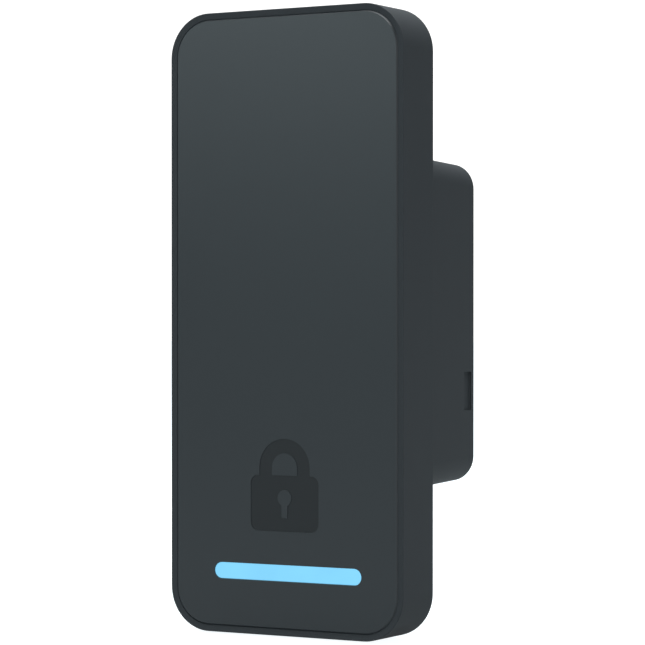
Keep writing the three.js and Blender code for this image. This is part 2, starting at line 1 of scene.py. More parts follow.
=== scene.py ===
"""Wall-mounted RFID card reader. Shapes are made in millimetres, and finished pieces are in metres.

X runs to the right as a person in front of the reader sees it, Y runs into the wall and Z runs up.
"""

import math

import bmesh
import bpy
from mathutils import Matrix, Vector


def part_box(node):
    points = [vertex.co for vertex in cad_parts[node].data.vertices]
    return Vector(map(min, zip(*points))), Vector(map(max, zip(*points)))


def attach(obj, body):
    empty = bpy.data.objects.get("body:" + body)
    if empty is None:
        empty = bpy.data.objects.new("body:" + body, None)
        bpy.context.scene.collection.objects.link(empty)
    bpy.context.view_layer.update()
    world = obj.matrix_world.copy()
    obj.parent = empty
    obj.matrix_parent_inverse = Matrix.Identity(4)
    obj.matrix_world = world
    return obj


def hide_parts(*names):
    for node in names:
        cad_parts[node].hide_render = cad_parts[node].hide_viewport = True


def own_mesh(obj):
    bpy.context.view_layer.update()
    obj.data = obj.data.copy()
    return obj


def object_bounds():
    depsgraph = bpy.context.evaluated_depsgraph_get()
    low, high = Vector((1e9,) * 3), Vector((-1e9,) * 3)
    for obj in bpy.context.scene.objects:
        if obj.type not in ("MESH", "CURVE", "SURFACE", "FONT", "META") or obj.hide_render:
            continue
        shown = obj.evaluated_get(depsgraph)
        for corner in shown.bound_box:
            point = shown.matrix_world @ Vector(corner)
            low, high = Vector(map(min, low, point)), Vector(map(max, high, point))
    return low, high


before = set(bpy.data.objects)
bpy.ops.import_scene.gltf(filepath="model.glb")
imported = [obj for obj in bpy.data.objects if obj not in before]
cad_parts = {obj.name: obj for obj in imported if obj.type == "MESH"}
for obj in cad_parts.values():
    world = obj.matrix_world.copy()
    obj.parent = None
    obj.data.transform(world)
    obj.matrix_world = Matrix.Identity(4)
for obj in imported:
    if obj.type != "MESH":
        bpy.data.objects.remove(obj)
cad_low, cad_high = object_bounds()
scene = bpy.context.scene

# ---------------------------------------------------------------- camera
# A long lens at the height of the reader's middle, 30 degrees round to its right. The lens is shifted
# up a little, so that upright edges stay upright.
CAMERA_PLACE = (0.25731, -0.44093, 0.00044)
CAMERA_AZIMUTH = math.radians(30.129)
CAMERA_PITCH = math.radians(-0.594)
CAMERA_LENS = 151.0
CAMERA_SHIFT = 0.0400

camera = bpy.data.objects.new("camera", bpy.data.cameras.new("camera"))
camera.data.lens = CAMERA_LENS
camera.data.sensor_width = 36
camera.data.shift_y = CAMERA_SHIFT
camera.data.clip_start = 0.01
ahead = Vector((-math.sin(CAMERA_AZIMUTH) * math.cos(CAMERA_PITCH),
                math.cos(CAMERA_AZIMUTH) * math.cos(CAMERA_PITCH),
                math.sin(CAMERA_PITCH)))
rightwards = Vector((math.cos(CAMERA_AZIMUTH), math.sin(CAMERA_AZIMUTH), 0))
upwards = rightwards.cross(ahead)
turn = Matrix((rightwards, upwards, -ahead)).transposed()
camera.matrix_world = Matrix.Translation(CAMERA_PLACE) @ turn.to_4x4()
scene.collection.objects.link(camera)
scene.camera = camera
scene.view_settings.view_transform = "Standard"

# ---------------------------------------------------------------- studio
# A pale room: brighter above than at the sides, and a little brighter behind the reader than in front;
# to the camera it shows as plain white. Soft lamps stand at the upper left, above and at the right, and a
# white floor lies just under the reader. The floor can be seen through from below.
FLOOR_GAP = 0.0004
FLOOR_SIZE = 12
SKY_LOW = 0.17
SKY_HIGH = 0.85
SKY_BEHIND = 0.12
BACKDROP = 1.25
KEY_PLACE = (-0.75, -1.30, 0.49)
KEY_SIZE = 0.6
KEY_POWER = 3.85
KEY_COLOUR = (0.82, 0.96, 1.0)
TOP_PLACE = (-0.02, 0.0, 1.0)
TOP_SIZE = 1.2
TOP_POWER = 20
TOP_COLOUR = (0.95, 0.98, 1.0)
FILL_PLACE = (0.85, -0.95, 0.20)
FILL_SIZE = 0.8
FILL_POWER = 4.3
FILL_COLOUR = (0.95, 0.98, 1.0)
FLOOR_GLOW = 1.0
FLOOR_GLOW_UNSEEN = 0.30


def add_node(tree, kind, place=(0, 0), **settings):
    """Adds a node and sets its properties, and its input sockets from names in plain words."""
    node = tree.nodes.new(kind)
    node.location = place
    for name, value in settings.items():
        label = name.replace("_", " ").title()
        if label in node.inputs:
            node.inputs[label].default_value = value
        else:
            setattr(node, name, value)
    return node


world = bpy.data.worlds.new("studio")
world.use_nodes = True
world.node_tree.nodes.clear()
sky_coordinates = add_node(world.node_tree, "ShaderNodeTexCoord")
sky_split = add_node(world.node_tree, "ShaderNodeSeparateXYZ")
sky_slope = add_node(world.node_tree, "ShaderNodeMapRange", from_min=0.25, from_max=1.0,
                     to_min=SKY_LOW, to_max=SKY_HIGH)
sky_behind = add_node(world.node_tree, "ShaderNodeMapRange", from_min=0.1, from_max=0.9,
                      to_min=0.0, to_max=SKY_BEHIND)
sky_sum = add_node(world.node_tree, "ShaderNodeMath", operation="ADD")
sky_light = add_node(world.node_tree, "ShaderNodeBackground", color=(0.88, 0.96, 1.0, 1))
sky_seen = add_node(world.node_tree, "ShaderNodeBackground", color=(1, 1, 1, 1), strength=BACKDROP)
sky_path = add_node(world.node_tree, "ShaderNodeLightPath")
sky_mix = add_node(world.node_tree, "ShaderNodeMixShader")
sky_out = add_node(world.node_tree, "ShaderNodeOutputWorld")
for start, end in (
    (sky_coordinates.outputs["Generated"], sky_split.inputs["Vector"]),
    (sky_split.outputs["Z"], sky_slope.inputs["Value"]),
    (sky_split.outputs["Y"], sky_behind.inputs["Value"]),
    (sky_slope.outputs["Result"], sky_sum.inputs[0]),
    (sky_behind.outputs["Result"], sky_sum.inputs[1]),
    (sky_sum.outputs["Value"], sky_light.inputs["Strength"]),
    (sky_path.outputs["Is Camera Ray"], sky_mix.inputs["Fac"]),
    (sky_light.outputs["Background"], sky_mix.inputs[1]),
    (sky_seen.outputs["Background"], sky_mix.inputs[2]),
    (sky_mix.outputs["Shader"], sky_out.inputs["Surface"]),
):
    world.node_tree.links.new(start, end)
scene.world = world

for name, place, size, power, colour in (
        ("key_lamp", KEY_PLACE, KEY_SIZE, KEY_POWER, KEY_COLOUR),
        ("top_lamp", TOP_PLACE, TOP_SIZE, TOP_POWER, TOP_COLOUR),
        ("fill_lamp", FILL_PLACE, FILL_SIZE, FILL_POWER, FILL_COLOUR)):
    lamp = bpy.data.objects.new(name, bpy.data.lights.new(name, "AREA"))
    lamp.data.size = size
    lamp.data.energy = power
    lamp.data.color = colour
    lamp.location = place
    lamp.rotation_euler = (-Vector(place)).to_track_quat("-Z", "Y").to_euler()
    lamp.visible_camera = False
    scene.collection.objects.link(lamp)

floor_shape = bmesh.new()
bmesh.ops.create_grid(floor_shape, x_segments=1, y_segments=1, size=FLOOR_SIZE / 2)
floor_mesh = bpy.data.meshes.new("floor")
floor_shape.to_mesh(floor_mesh)
floor_shape.free()
floor = bpy.data.objects.new("floor", floor_mesh)
floor.location.z = cad_low.z - FLOOR_GAP
scene.collection.objects.link(floor)
floor_paint = bpy.data.materials.new("pale_floor")
floor_paint.use_nodes = True
floor_tree = floor_paint.node_tree
floor_shader = floor_tree.nodes["Principled BSDF"]
floor_shader.inputs["Base Color"].default_value = (0.28, 0.31, 0.32, 1)
floor_shader.inputs["Roughness"].default_value = 0.9
floor_shader.inputs["Emission Color"].default_value = (0.94, 0.98, 1.0, 1)
floor_clear = add_node(floor_tree, "ShaderNodeBsdfTransparent")
floor_side = add_node(floor_tree, "ShaderNodeNewGeometry")
floor_mix = add_node(floor_tree, "ShaderNodeMixShader")
floor_path = add_node(floor_tree, "ShaderNodeLightPath")
floor_glow = add_node(floor_tree, "ShaderNodeMapRange", to_min=FLOOR_GLOW_UNSEEN, to_max=FLOOR_GLOW)
floor_tree.links.new(floor_path.outputs["Is Camera Ray"], floor_glow.inputs["Value"])
floor_tree.links.new(floor_glow.outputs["Result"], floor_shader.inputs["Emission Strength"])
floor_tree.links.new(floor_side.outputs["Backfacing"], floor_mix.inputs["Fac"])
floor_tree.links.new(floor_shader.outputs["BSDF"], floor_mix.inputs[1])
floor_tree.links.new(floor_clear.outputs["BSDF"], floor_mix.inputs[2])
floor_tree.links.new(floor_mix.outputs["Shader"], floor_tree.nodes["Material Output"].inputs["Surface"])
floor_mesh.materials.append(floor_paint)

# ---------------------------------------------------------------- front frame
# The slab's side walls and the thin rim that slopes down to the panel: one moulding of charcoal plastic
# with a fine matt texture from the mould. Screw bosses stand in its corners; a hole in the bottom takes
# the security screw.
MM = 0.001
PAST = 1
RIM = 1.25
RIM_DISH = 0.2
EDGE_R = 0.15
CORNER_R = 8.26
CORNER_STEPS = 20
LEDGE_INSET = 4.2
LEDGE_FRONT = -9.6
LEDGE_BACK = -8.4
GASKET_SEAT = -2.25
REAR_WALL = 1.6
SIDE_WALL = 2.6
FRAME_GREY = (0.0244, 0.0280, 0.0310)


def corners_of(node):
    """The lowest and highest corner of a CAD node, in millimetres."""
    low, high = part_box(node)
    return Vector(low) / MM, Vector(high) / MM


def rounded_slab(width, height, front, back, radius, x=0.0, z=0.0, steps=CORNER_STEPS):
    """A plate with round corners, between two Y planes and about (x, z)."""
    shape = bmesh.new()
    bmesh.ops.create_cube(shape, size=1)
    bmesh.ops.scale(shape, vec=(width, back - front, height), verts=shape.verts)
    bmesh.ops.translate(shape, vec=(x, (front + back) / 2, z), verts=shape.verts)
    along = [e for e in shape.edges if abs(e.verts[0].co.y - e.verts[1].co.y) > (back - front) / 2]
    if radius > 0:
        bmesh.ops.bevel(shape, geom=along, offset=radius, segments=steps, profile=0.5,
                        affect="EDGES", material=-1)
    return shape


def face_towards(shape, y_sign):
    """The largest flat face that looks to the front (-1) or to the rear (1)."""
    shape.normal_update()
    flat = [f for f in shape.faces if f.normal.y * y_sign > 0.99]
    return max(flat, key=lambda f: f.calc_area())


def soften(shape, edges, radius, steps=3):
    """Rounds edges over by a small radius."""
    bmesh.ops.bevel(shape, geom=list(edges), offset=radius, segments=steps, profile=0.5,
                    affect="EDGES", material=-1)


def sink(shape, face, rim, drop, mouth_radius=0.0):
    """Steps a face in by rim, pushes it in by drop, rounds the mouth and returns the floor."""
    if rim:
        bmesh.ops.inset_region(shape, faces=[face], thickness=rim, use_even_offset=True)
    inwards = -face.normal.normalized()
    mouth = list(face.edges)
    floor_face = bmesh.ops.extrude_discrete_faces(shape, faces=[face])["faces"][0]
    bmesh.ops.translate(shape, vec=inwards * drop, verts=floor_face.verts)
    if mouth_radius:
        soften(shape, mouth, mouth_radius)
    shape.normal_update()
    return floor_face


def make_piece(name, shape, *finishes, smooth=35.0):
    """Turns a shape in millimetres into a finished object at the origin, in metres."""
    bmesh.ops.scale(shape, vec=(MM, MM, MM), verts=shape.verts)
    mesh = bpy.data.meshes.new(name)
    shape.to_mesh(mesh)
    shape.free()
    made = bpy.data.objects.new(name, mesh)
    scene.collection.objects.link(made)
    for finish in finishes:
        mesh.materials.append(finish)
    mesh.shade_smooth()
    mesh.set_sharp_from_angle(angle=math.radians(smooth))
    return made


def combine(made, tool, operation="DIFFERENCE", smooth=35.0):
    """Cuts a piece with a tool shape in millimetres, or joins it on, and throws the tool away."""
    cutter = make_piece("tool", tool)
    step = made.modifiers.new("combine", "BOOLEAN")
    step.operation = operation
    step.solver = "EXACT"
    step.object = cutter
    bpy.context.view_layer.update()
    result = bpy.data.meshes.new_from_object(made.evaluated_get(bpy.context.evaluated_depsgraph_get()))
    old = made.data
    made.modifiers.clear()
    made.data = result
    bpy.data.meshes.remove(old)
    bpy.data.meshes.remove(cutter.data)
    clean = bmesh.new()
    clean.from_mesh(result)
    bmesh.ops.remove_doubles(clean, verts=clean.verts, dist=1e-7)
    bmesh.ops.dissolve_degenerate(clean, edges=clean.edges, dist=1e-7)
    clean.to_mesh(result)
    clean.free()
    result.shade_smooth()
    result.set_sharp_from_angle(angle=math.radians(smooth))


def even_shading(made):
    """Keeps large flat faces flat next to their small round edges."""
    weights = made.modifiers.new("even_shading", "WEIGHTED_NORMAL")
    weights.keep_sharp = True
    weights.weight = 60


def spun(points, x=0.0, z=0.0, sides=48):
    """A shape turned about the line along Y at (x, z), from (radius, y) points."""
    shape = bmesh.new()
    verts = [shape.verts.new((radius, y, 0)) for radius, y in points]
    edges = [shape.edges.new(pair) for pair in zip(verts, verts[1:])]
    bmesh.ops.spin(shape, geom=verts + edges, cent=(0, 0, 0), axis=(0, 1, 0), dvec=(0, 0, 0),
                   angle=2 * math.pi, steps=sides, use_merge=True)
    bmesh.ops.remove_doubles(shape, verts=shape.verts, dist=1e-4)
    bmesh.ops.recalc_face_normals(shape, faces=shape.faces)
    bmesh.ops.translate(shape, vec=(x, 0, z), verts=shape.verts)
    return shape


def together(*shapes):
    """Several separate shapes as one."""
    whole = shapes[0]
    for part in shapes[1:]:
        carrier_mesh = bpy.data.meshes.new("part")
        part.to_mesh(carrier_mesh)
        part.free()
        whole.from_mesh(carrier_mesh)
        bpy.data.meshes.remove(carrier_mesh)
    return whole


def rod(radius, front, back, x=0.0, z=0.0, sides=48):
    """A plain round bar along Y."""
    return spun([(0, front), (radius, front), (radius, back), (0, back)], x, z, sides)


def fit(piece, body, slot, *nodes):
    """Puts a finished piece on a body and takes the place of CAD nodes. The slot argument is not used."""
    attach(piece, body)
    if nodes:
        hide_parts(*nodes)


def new_group(name, inputs, outputs):
    """An empty shader group with its sockets, given as (name, type, default)."""
    group = bpy.data.node_groups.new(name, "ShaderNodeTree")
    for label, kind, value in inputs:
        socket = group.interface.new_socket(label, in_out="INPUT", socket_type=kind)
        if value is not None:
            socket.default_value = value
    for label, kind in outputs:
        group.interface.new_socket(label, in_out="OUTPUT", socket_type=kind)
    return group


def moulded_group():
    """Fine texture of a mould, slight mottling of the resin, and faint finger-polished patches."""
    group = new_group(
        "moulded_plastic",
        [("Colour", "NodeSocketColor", (0.5, 0.5, 0.5, 1)), ("Roughness", "NodeSocketFloat", 0.5),
         ("Grain Size", "NodeSocketFloat", 6000.0), ("Grain Depth", "NodeSocketFloat", 0.1),
         ("Mottle", "NodeSocketFloat", 0.06), ("Polish", "NodeSocketFloat", 0.05)],
        [("Colour", "NodeSocketColor"), ("Roughness", "NodeSocketFloat"), ("Normal", "NodeSocketVector")])
    into = add_node(group, "NodeGroupInput", (-900, 0))
    out = add_node(group, "NodeGroupOutput", (700, 0))
    spot = add_node(group, "ShaderNodeTexCoord", (-900, -300))
    grain = add_node(group, "ShaderNodeTexNoise", (-600, -300), detail=2.0, roughness=0.6)
    cloud = add_node(group, "ShaderNodeTexNoise", (-600, 200), scale=130.0, detail=4.0)
    smear = add_node(group, "ShaderNodeTexNoise", (-600, -50), scale=45.0, detail=5.0, distortion=0.6)
    shade = add_node(group, "ShaderNodeMath", (-350, 200), operation="MULTIPLY_ADD")
    lift = add_node(group, "ShaderNodeMath", (-350, 350), operation="MULTIPLY_ADD")
    lift.inputs[1].default_value = -0.5
    lift.inputs[2].default_value = 1.0
    tint = add_node(group, "ShaderNodeVectorMath", (100, 200), operation="SCALE")
    swing = add_node(group, "ShaderNodeMath", (-350, -50), operation="SUBTRACT")
    swing.inputs[1].default_value = 0.5
    rough = add_node(group, "ShaderNodeMath", (100, -50), operation="MULTIPLY_ADD")
    bump = add_node(group, "ShaderNodeBump", (100, -300), distance=0.00005)
    for start, end in (
        (spot.outputs["Object"], grain.inputs["Vector"]),
        (spot.outputs["Object"], cloud.inputs["Vector"]),
        (spot.outputs["Object"], smear.inputs["Vector"]),
        (into.outputs["Grain Size"], grain.inputs["Scale"]),
        (into.outputs["Mottle"], lift.inputs[0]),
        (cloud.outputs["Fac"], shade.inputs[0]),
        (into.outputs["Mottle"], shade.inputs[1]),
        (lift.outputs["Value"], shade.inputs[2]),
        (into.outputs["Colour"], tint.inputs[0]),
        (shade.outputs["Value"], tint.inputs["Scale"]),
        (smear.outputs["Fac"], swing.inputs[0]),
        (swing.outputs["Value"], rough.inputs[0]),
        (into.outputs["Polish"], rough.inputs[1]),
        (into.outputs["Roughness"], rough.inputs[2]),
        (grain.outputs["Fac"], bump.inputs["Height"]),
        (into.outputs["Grain Depth"], bump.inputs["Strength"]),
        (tint.outputs["Vector"], out.inputs["Colour"]),
        (rough.outputs["Value"], out.inputs["Roughness"]),
        (bump.outputs["Normal"], out.inputs["Normal"]),
    ):
        group.links.new(start, end)
    return group


MOULDED = moulded_group()


def plain_finish(name, group, metallic=0.0, specular=0.5, **values):
    """A material whose colour, roughness and normal come from one surface group."""
    made = bpy.data.materials.new(name)
    made.use_nodes = True
    tree = made.node_tree
    shader = tree.nodes["Principled BSDF"]
    shader.inputs["Metallic"].default_value = metallic
    shader.inputs["Specular IOR Level"].default_value = specular
    surface = tree.nodes.new("ShaderNodeGroup")
    surface.node_tree = group
    surface.location = (-350, 100)
    for label, value in values.items():
        plain = label.replace("_", " ").title()
        surface.inputs[plain].default_value = (*value, 1) if isinstance(value, tuple) else value
    tree.links.new(surface.outputs["Colour"], shader.inputs["Base Color"])
    tree.links.new(surface.outputs["Roughness"], shader.inputs["Roughness"])
    tree.links.new(surface.outputs["Normal"], shader.inputs["Normal"])
    return made


frame_finish = plain_finish("charcoal_shell", MOULDED, specular=0.22, colour=FRAME_GREY,
                            roughness=0.62, grain_size=7000.0, grain_depth=0.16, mottle=0.05)

frame_low, frame_high = corners_of("front_frame")
frame_size = frame_high - frame_low
FRONT_Y = frame_low.y
slab = rounded_slab(frame_size.x, frame_size.z, frame_low.y, frame_high.y, CORNER_R)
soften(slab, face_towards(slab, -1).edges, EDGE_R, 4)
soften(slab, face_towards(slab, 1).edges, EDGE_R)
rim_inside = face_towards(slab, -1)
bmesh.ops.inset_region(slab, faces=[rim_inside], thickness=RIM - EDGE_R, use_even_offset=True)
bmesh.ops.translate(slab, vec=(0, RIM_DISH, 0), verts=rim_inside.verts)
recess = sink(slab, rim_inside, 0, LEDGE_FRONT - FRONT_Y - RIM_DISH, 0.05)
bmesh.ops.inset_region(slab, faces=[recess], thickness=LEDGE_INSET - RIM, use_even_offset=True)
seat = sink(slab, face_towards(slab, 1), REAR_WALL - EDGE_R, -GASKET_SEAT, 0.1)
hollow = sink(slab, seat, SIDE_WALL - REAR_WALL, GASKET_SEAT - LEDGE_BACK)
bmesh.ops.inset_region(slab, faces=[hollow], thickness=LEDGE_INSET - SIDE_WALL, use_even_offset=True)
opening = list(recess.edges) + list(hollow.edges)
bmesh.ops.delete(slab, geom=[recess, hollow], context="FACES_ONLY")
bmesh.ops.bridge_loops(slab, edges=opening)
bmesh.ops.recalc_face_normals(slab, faces=slab.faces)
front_frame = make_piece("front_frame_shell", slab, frame_finish)

insert_low, insert_high = corners_of("thread_insert_1")
BOSS_X = (insert_low.x + insert_high.x) / 2
BOSS_Z = (insert_low.z + insert_high.z) / 2
BOSS_R = 3.0
CORNERS = ((1, 1), (-1, 1), (-1, -1), (1, -1))
BOSS_ROOT = 0.4
INSERT_HOLE_R = 1.63
INSERT_ROOM = 0.4
boss_places = [(i * BOSS_X, k * BOSS_Z) for i, k in CORNERS]
combine(front_frame, together(*[
    rod(BOSS_R, LEDGE_BACK - BOSS_ROOT, GASKET_SEAT, x, z) for x, z in boss_places]), "UNION")
combine(front_frame, together(*[
    rod(INSERT_HOLE_R, insert_low.y - INSERT_ROOM, PAST, x, z) for x, z in boss_places]))


def upright_hole(points, y):
    """A cutting tool turned about the upright line at (0, y), from (radius, z) points."""
    tool = spun(points)
    bmesh.ops.rotate(tool, cent=(0, 0, 0), matrix=Matrix.Rotation(math.pi / 2, 3, "X"), verts=tool.verts)
    bmesh.ops.translate(tool, vec=(0, y, 0), verts=tool.verts)
    return tool


security_low, security_high = corners_of("security_screw")
SECURITY_Y = (security_low.y + security_high.y) / 2
BOTTOM = frame_low.z
combine(front_frame, upright_hole([
    (0, BOTTOM - PAST), (3.2, BOTTOM - PAST), (3.2, BOTTOM - 0.01), (2.95, BOTTOM + 0.1),
    (2.8, BOTTOM + 0.25),
    (2.8, BOTTOM + 1.4), (1.7, BOTTOM + 1.4), (1.7, BOTTOM + 4), (0, BOTTOM + 4)], SECURITY_Y))
even_shading(front_frame)
fit(front_frame, "reader", "shell_plastic", "front_frame")

# ---------------------------------------------------------------- front panel and its symbol
# A flat plate of satin charcoal plastic that lies almost flush in the rim, with a fine bright chamfer
# around it, a slot for the light bar, and a shallow recess with a printed padlock above the bar.
PANEL_GAP = 0.03
PANEL_CHAMFER = 0.25
PANEL_GREY = (0.0119, 0.0158, 0.0184)
SYMBOL_GREY = (0.0072, 0.0092, 0.0106)
SYMBOL_Z = -30.1
SYMBOL_DEPTH = 0.12
KEYHOLE_R = 1.5

panel_finish = plain_finish("satin_panel", MOULDED, specular=0.5, colour=PANEL_GREY,
                            roughness=0.31, grain_size=9000.0, grain_depth=0.05, mottle=0.03, polish=0.04)
symbol_finish = plain_finish("symbol_print", MOULDED, specular=0.35, colour=SYMBOL_GREY,
                             roughness=0.5, grain_size=8000.0, grain_depth=0.08, mottle=0.04)

panel_low, panel_high = corners_of("front_panel")
bar_low, bar_high = corners_of("light_bar_lens")
BAR_X = (bar_low.x + bar_high.x) / 2
BAR_Z = (bar_low.z + bar_high.z) / 2
BAR_L = 31.5
BAR_H = 2.95


def pill(length, height, front, back, steps=24):
    """A bar with round ends at the light bar's place."""
    return rounded_slab(length, height, front, back, height / 2 - 1e-4, BAR_X, BAR_Z, steps)


def padlock(front, back, grow=0.0):
    """The parts of a plain padlock: a body with a keyhole, and a shackle above it."""
    body = rounded_slab(14.6 + grow, 10.4 + grow, front, back, 1.6, 0, SYMBOL_Z - 3.4, 8)
    hoop = rounded_slab(10.8 + grow, 12.0, front, back, 5.4 + grow / 2 - 1e-3, 0, SYMBOL_Z + 2.6, 24)
    hole = rounded_slab(5.4 - grow, 12.0, front - PAST, back + PAST, 2.7 - grow / 2 - 1e-3,
                        0, SYMBOL_Z - 0.1, 24)
    return body, hoop, hole


plate_x = frame_size.x - 2 * (RIM + PANEL_GAP)
plate_z = frame_size.z - 2 * (RIM + PANEL_GAP)
plate = rounded_slab(plate_x, plate_z, panel_low.y, panel_high.y, CORNER_R - RIM - PANEL_GAP)
soften(plate, face_towards(plate, -1).edges, PANEL_CHAMFER, 1)
front_panel = make_piece("front_panel_plate", plate, panel_finish)
slot_tool = pill(BAR_L + 0.12, BAR_H + 0.12, panel_low.y - PAST, panel_high.y + PAST)
combine(front_panel, slot_tool)


def symbol_shape(name, front, back, grow, finish):
    """The padlock as a solid of its own, cut and joined from its parts."""
    body, hoop, hole = padlock(front, back, grow)
    made = make_piece(name, hoop, finish)
    combine(made, hole)
    lower = rounded_slab(30, 14, front - 2, back + 2, 0, 0, SYMBOL_Z - 5.6)
    combine(made, lower)
    combine(made, body, "UNION")
    combine(made, rod(KEYHOLE_R - grow / 2, front - PAST, back + PAST, 0, SYMBOL_Z - 2.4))
    combine(made, rounded_slab(1.3 - grow, 3.4, front - PAST, back + PAST, 0.3, 0, SYMBOL_Z - 4.4, 4))
    return made


symbol_tool = symbol_shape("symbol_tool", FRONT_Y - PAST, FRONT_Y + SYMBOL_DEPTH, 0.0, symbol_finish)
symbol_cut = bmesh.new()
symbol_cut.from_mesh(symbol_tool.data)
bmesh.ops.scale(symbol_cut, vec=(1 / MM,) * 3, verts=symbol_cut.verts)
bpy.data.meshes.remove(symbol_tool.data)
combine(front_panel, symbol_cut)
even_shading(front_panel)
fit(front_panel, "reader", "panel_plastic", "front_panel")

symbol = symbol_shape("padlock_print", FRONT_Y + SYMBOL_DEPTH - 0.05, FRONT_Y + SYMBOL_DEPTH - 0.002,
                      -0.02, symbol_finish)
fit(symbol, "reader", "panel_plastic")

# ---------------------------------------------------------------- light bar
# A pill-shaped lens of milky plastic in the panel's slot, lit from behind in light blue. Its flange
# lies behind the panel.
BAR_BLUE = (0.236, 0.668, 0.98)


def glow_finish():
    """Lit plastic, with a light that falls off a little between the lamps behind it."""
    made = bpy.data.materials.new("lit_lens")
    made.use_nodes = True
    tree = made.node_tree
    shader = tree.nodes["Principled BSDF"]
    shader.inputs["Base Color"].default_value = (0.01, 0.03, 0.04, 1)
    shader.inputs["Roughness"].default_value = 0.4
    shader.inputs["Specular IOR Level"].default_value = 0.2
    shader.inputs["Emission Strength"].default_value = 1.0
    spot = add_node(tree, "ShaderNodeTexCoord", (-1100, 0))
    cloud = add_node(tree, "ShaderNodeTexNoise", (-900, 0), scale=160.0, detail=2.0)
    ramp = add_node(tree, "ShaderNodeMapRange", (-700, 0), from_min=0.3, from_max=0.7,
                    to_min=0.96, to_max=1.02)
    tint = add_node(tree, "ShaderNodeVectorMath", (-450, 0), operation="SCALE")
    tint.inputs[0].default_value = BAR_BLUE
    tree.links.new(spot.outputs["Object"], cloud.inputs["Vector"])
    tree.links.new(cloud.outputs["Fac"], ramp.inputs["Value"])
    tree.links.new(ramp.outputs["Result"], tint.inputs["Scale"])
    tree.links.new(tint.outputs["Vector"], shader.inputs["Emission Color"])
    return made


bar_finish = glow_finish()
lens = pill(BAR_L, BAR_H, bar_low.y, -9.3)
soften(lens, face_towards(lens, -1).edges, 0.22, 4)
light_bar = make_piece("light_bar", lens, bar_finish)
combine(light_bar, pill(BAR_L + 2.2, BAR_H + 2.2, -9.75, -9.2), "UNION")
even_shading(light_bar)
fit(light_bar, "reader", "light_diffuser", "light_bar_lens")

# ---------------------------------------------------------------- rear housing
# The flange that closes the slab and the drafted box behind it are one moulding of the same charcoal
# plastic. The box has a bracket pocket in each side, a window for the network jack, a hole for the
# reset button and a shallow seat for the label.
BOX_W = 46.48
BOX_H = 62.26
BOX_R = 4.86
BOX_WALL = 1.8
DRAFT = 0.036
FLANGE_INSET = 1.75

housing_low, housing_high = corners_of("rear_housing")
BOX_BACK = housing_high.y
FLANGE_FRONT = housing_low.y


def drafted_box(inset, front, back, radius):
    """A rounded block whose side walls lean in towards the rear."""
    shape = rounded_slab(BOX_W - 2 * inset, BOX_H - 2 * inset, front, back, radius, steps=12)
    for vert in shape.verts:
        lean = DRAFT * max(vert.co.y, 0)
        vert.co.x -= math.copysign(lean, vert.co.x)
        vert.co.z -= math.copysign(lean, vert.co.z)
    return shape


box_shape = drafted_box(0, -0.6, BOX_BACK, BOX_R)
soften(box_shape, face_towards(box_shape, 1).edges, 0.25)
rear_housing = make_piece("rear_housing_shell", box_shape, frame_finish)
flange = rounded_slab(frame_size.x - 2 * FLANGE_INSET, frame_size.z - 2 * FLANGE_INSET, FLANGE_FRONT, 0,
                      CORNER_R - FLANGE_INSET)
soften(flange, face_towards(flange, 1).edges, 0.15)
combine(rear_housing, flange, "UNION")
combine(rear_housing, drafted_box(BOX_WALL, FLANGE_FRONT - 0.5, BOX_BACK - BOX_WALL, BOX_R - BOX_WALL))

POCKET_Y = 18.65
POCKET_Z = -13.05
POCKET_H = 7.35
POCKET_L = 3.15
POCKET_DEPTH = 0.5
POST_R = 2.3
POST_GAP = 0.05
PILOT_R = 0.95
PILOT_DEPTH = 6
side_at_pocket = BOX_W / 2 - DRAFT * POCKET_Y
pads = [rounded_slab(2.4, POCKET_H + 3, POCKET_Y - 3.1, BOX_BACK - BOX_WALL + 0.5, 0,
                     i * (side_at_pocket - 2.2), POCKET_Z) for i in (1, -1)]
post_low, post_high = corners_of("power_board_screw_1")
POST_X = (post_low.x + post_high.x) / 2
POST_Z = (post_low.z + post_high.z) / 2
board_back = corners_of("power_board")[1].y
posts = [rod(POST_R, board_back + POST_GAP, BOX_BACK - PAST, i * POST_X, k * POST_Z, 32)
         for i, k in CORNERS]
combine(rear_housing, together(*pads, *posts), "UNION")

jack_low, jack_high = corners_of("jack_shell")
reset_low, reset_high = corners_of("reset_button")
RESET_X = (reset_low.x + reset_high.x) / 2
RESET_Z = (reset_low.z + reset_high.z) / 2
tamper_low, tamper_high = corners_of("tamper_plunger")
TAMPER_Z = (tamper_low.z + tamper_high.z) / 2
label_low, label_high = corners_of("rating_label")


def round_hole(radius, front, back, x, z, mouth):
    """A round hole from front to back with a small chamfer at its rear mouth."""
    return spun([(0, front), (radius, front), (radius, back - mouth), (radius + mouth, back),
                 (radius + mouth, back + 0.6), (0, back + 0.6)], x, z)


pockets = []
for side in (1, -1):
    pocket = rounded_slab(2 * POCKET_DEPTH, POCKET_H, POCKET_Y - POCKET_L / 2, POCKET_Y + POCKET_L / 2, 0.2,
                          side * side_at_pocket, POCKET_Z, 3)
    for end in (1, -1):
        soften(pocket, face_towards(pocket, end).edges, 0.18)
    pockets.append(pocket)
combine(rear_housing, together(*pockets))

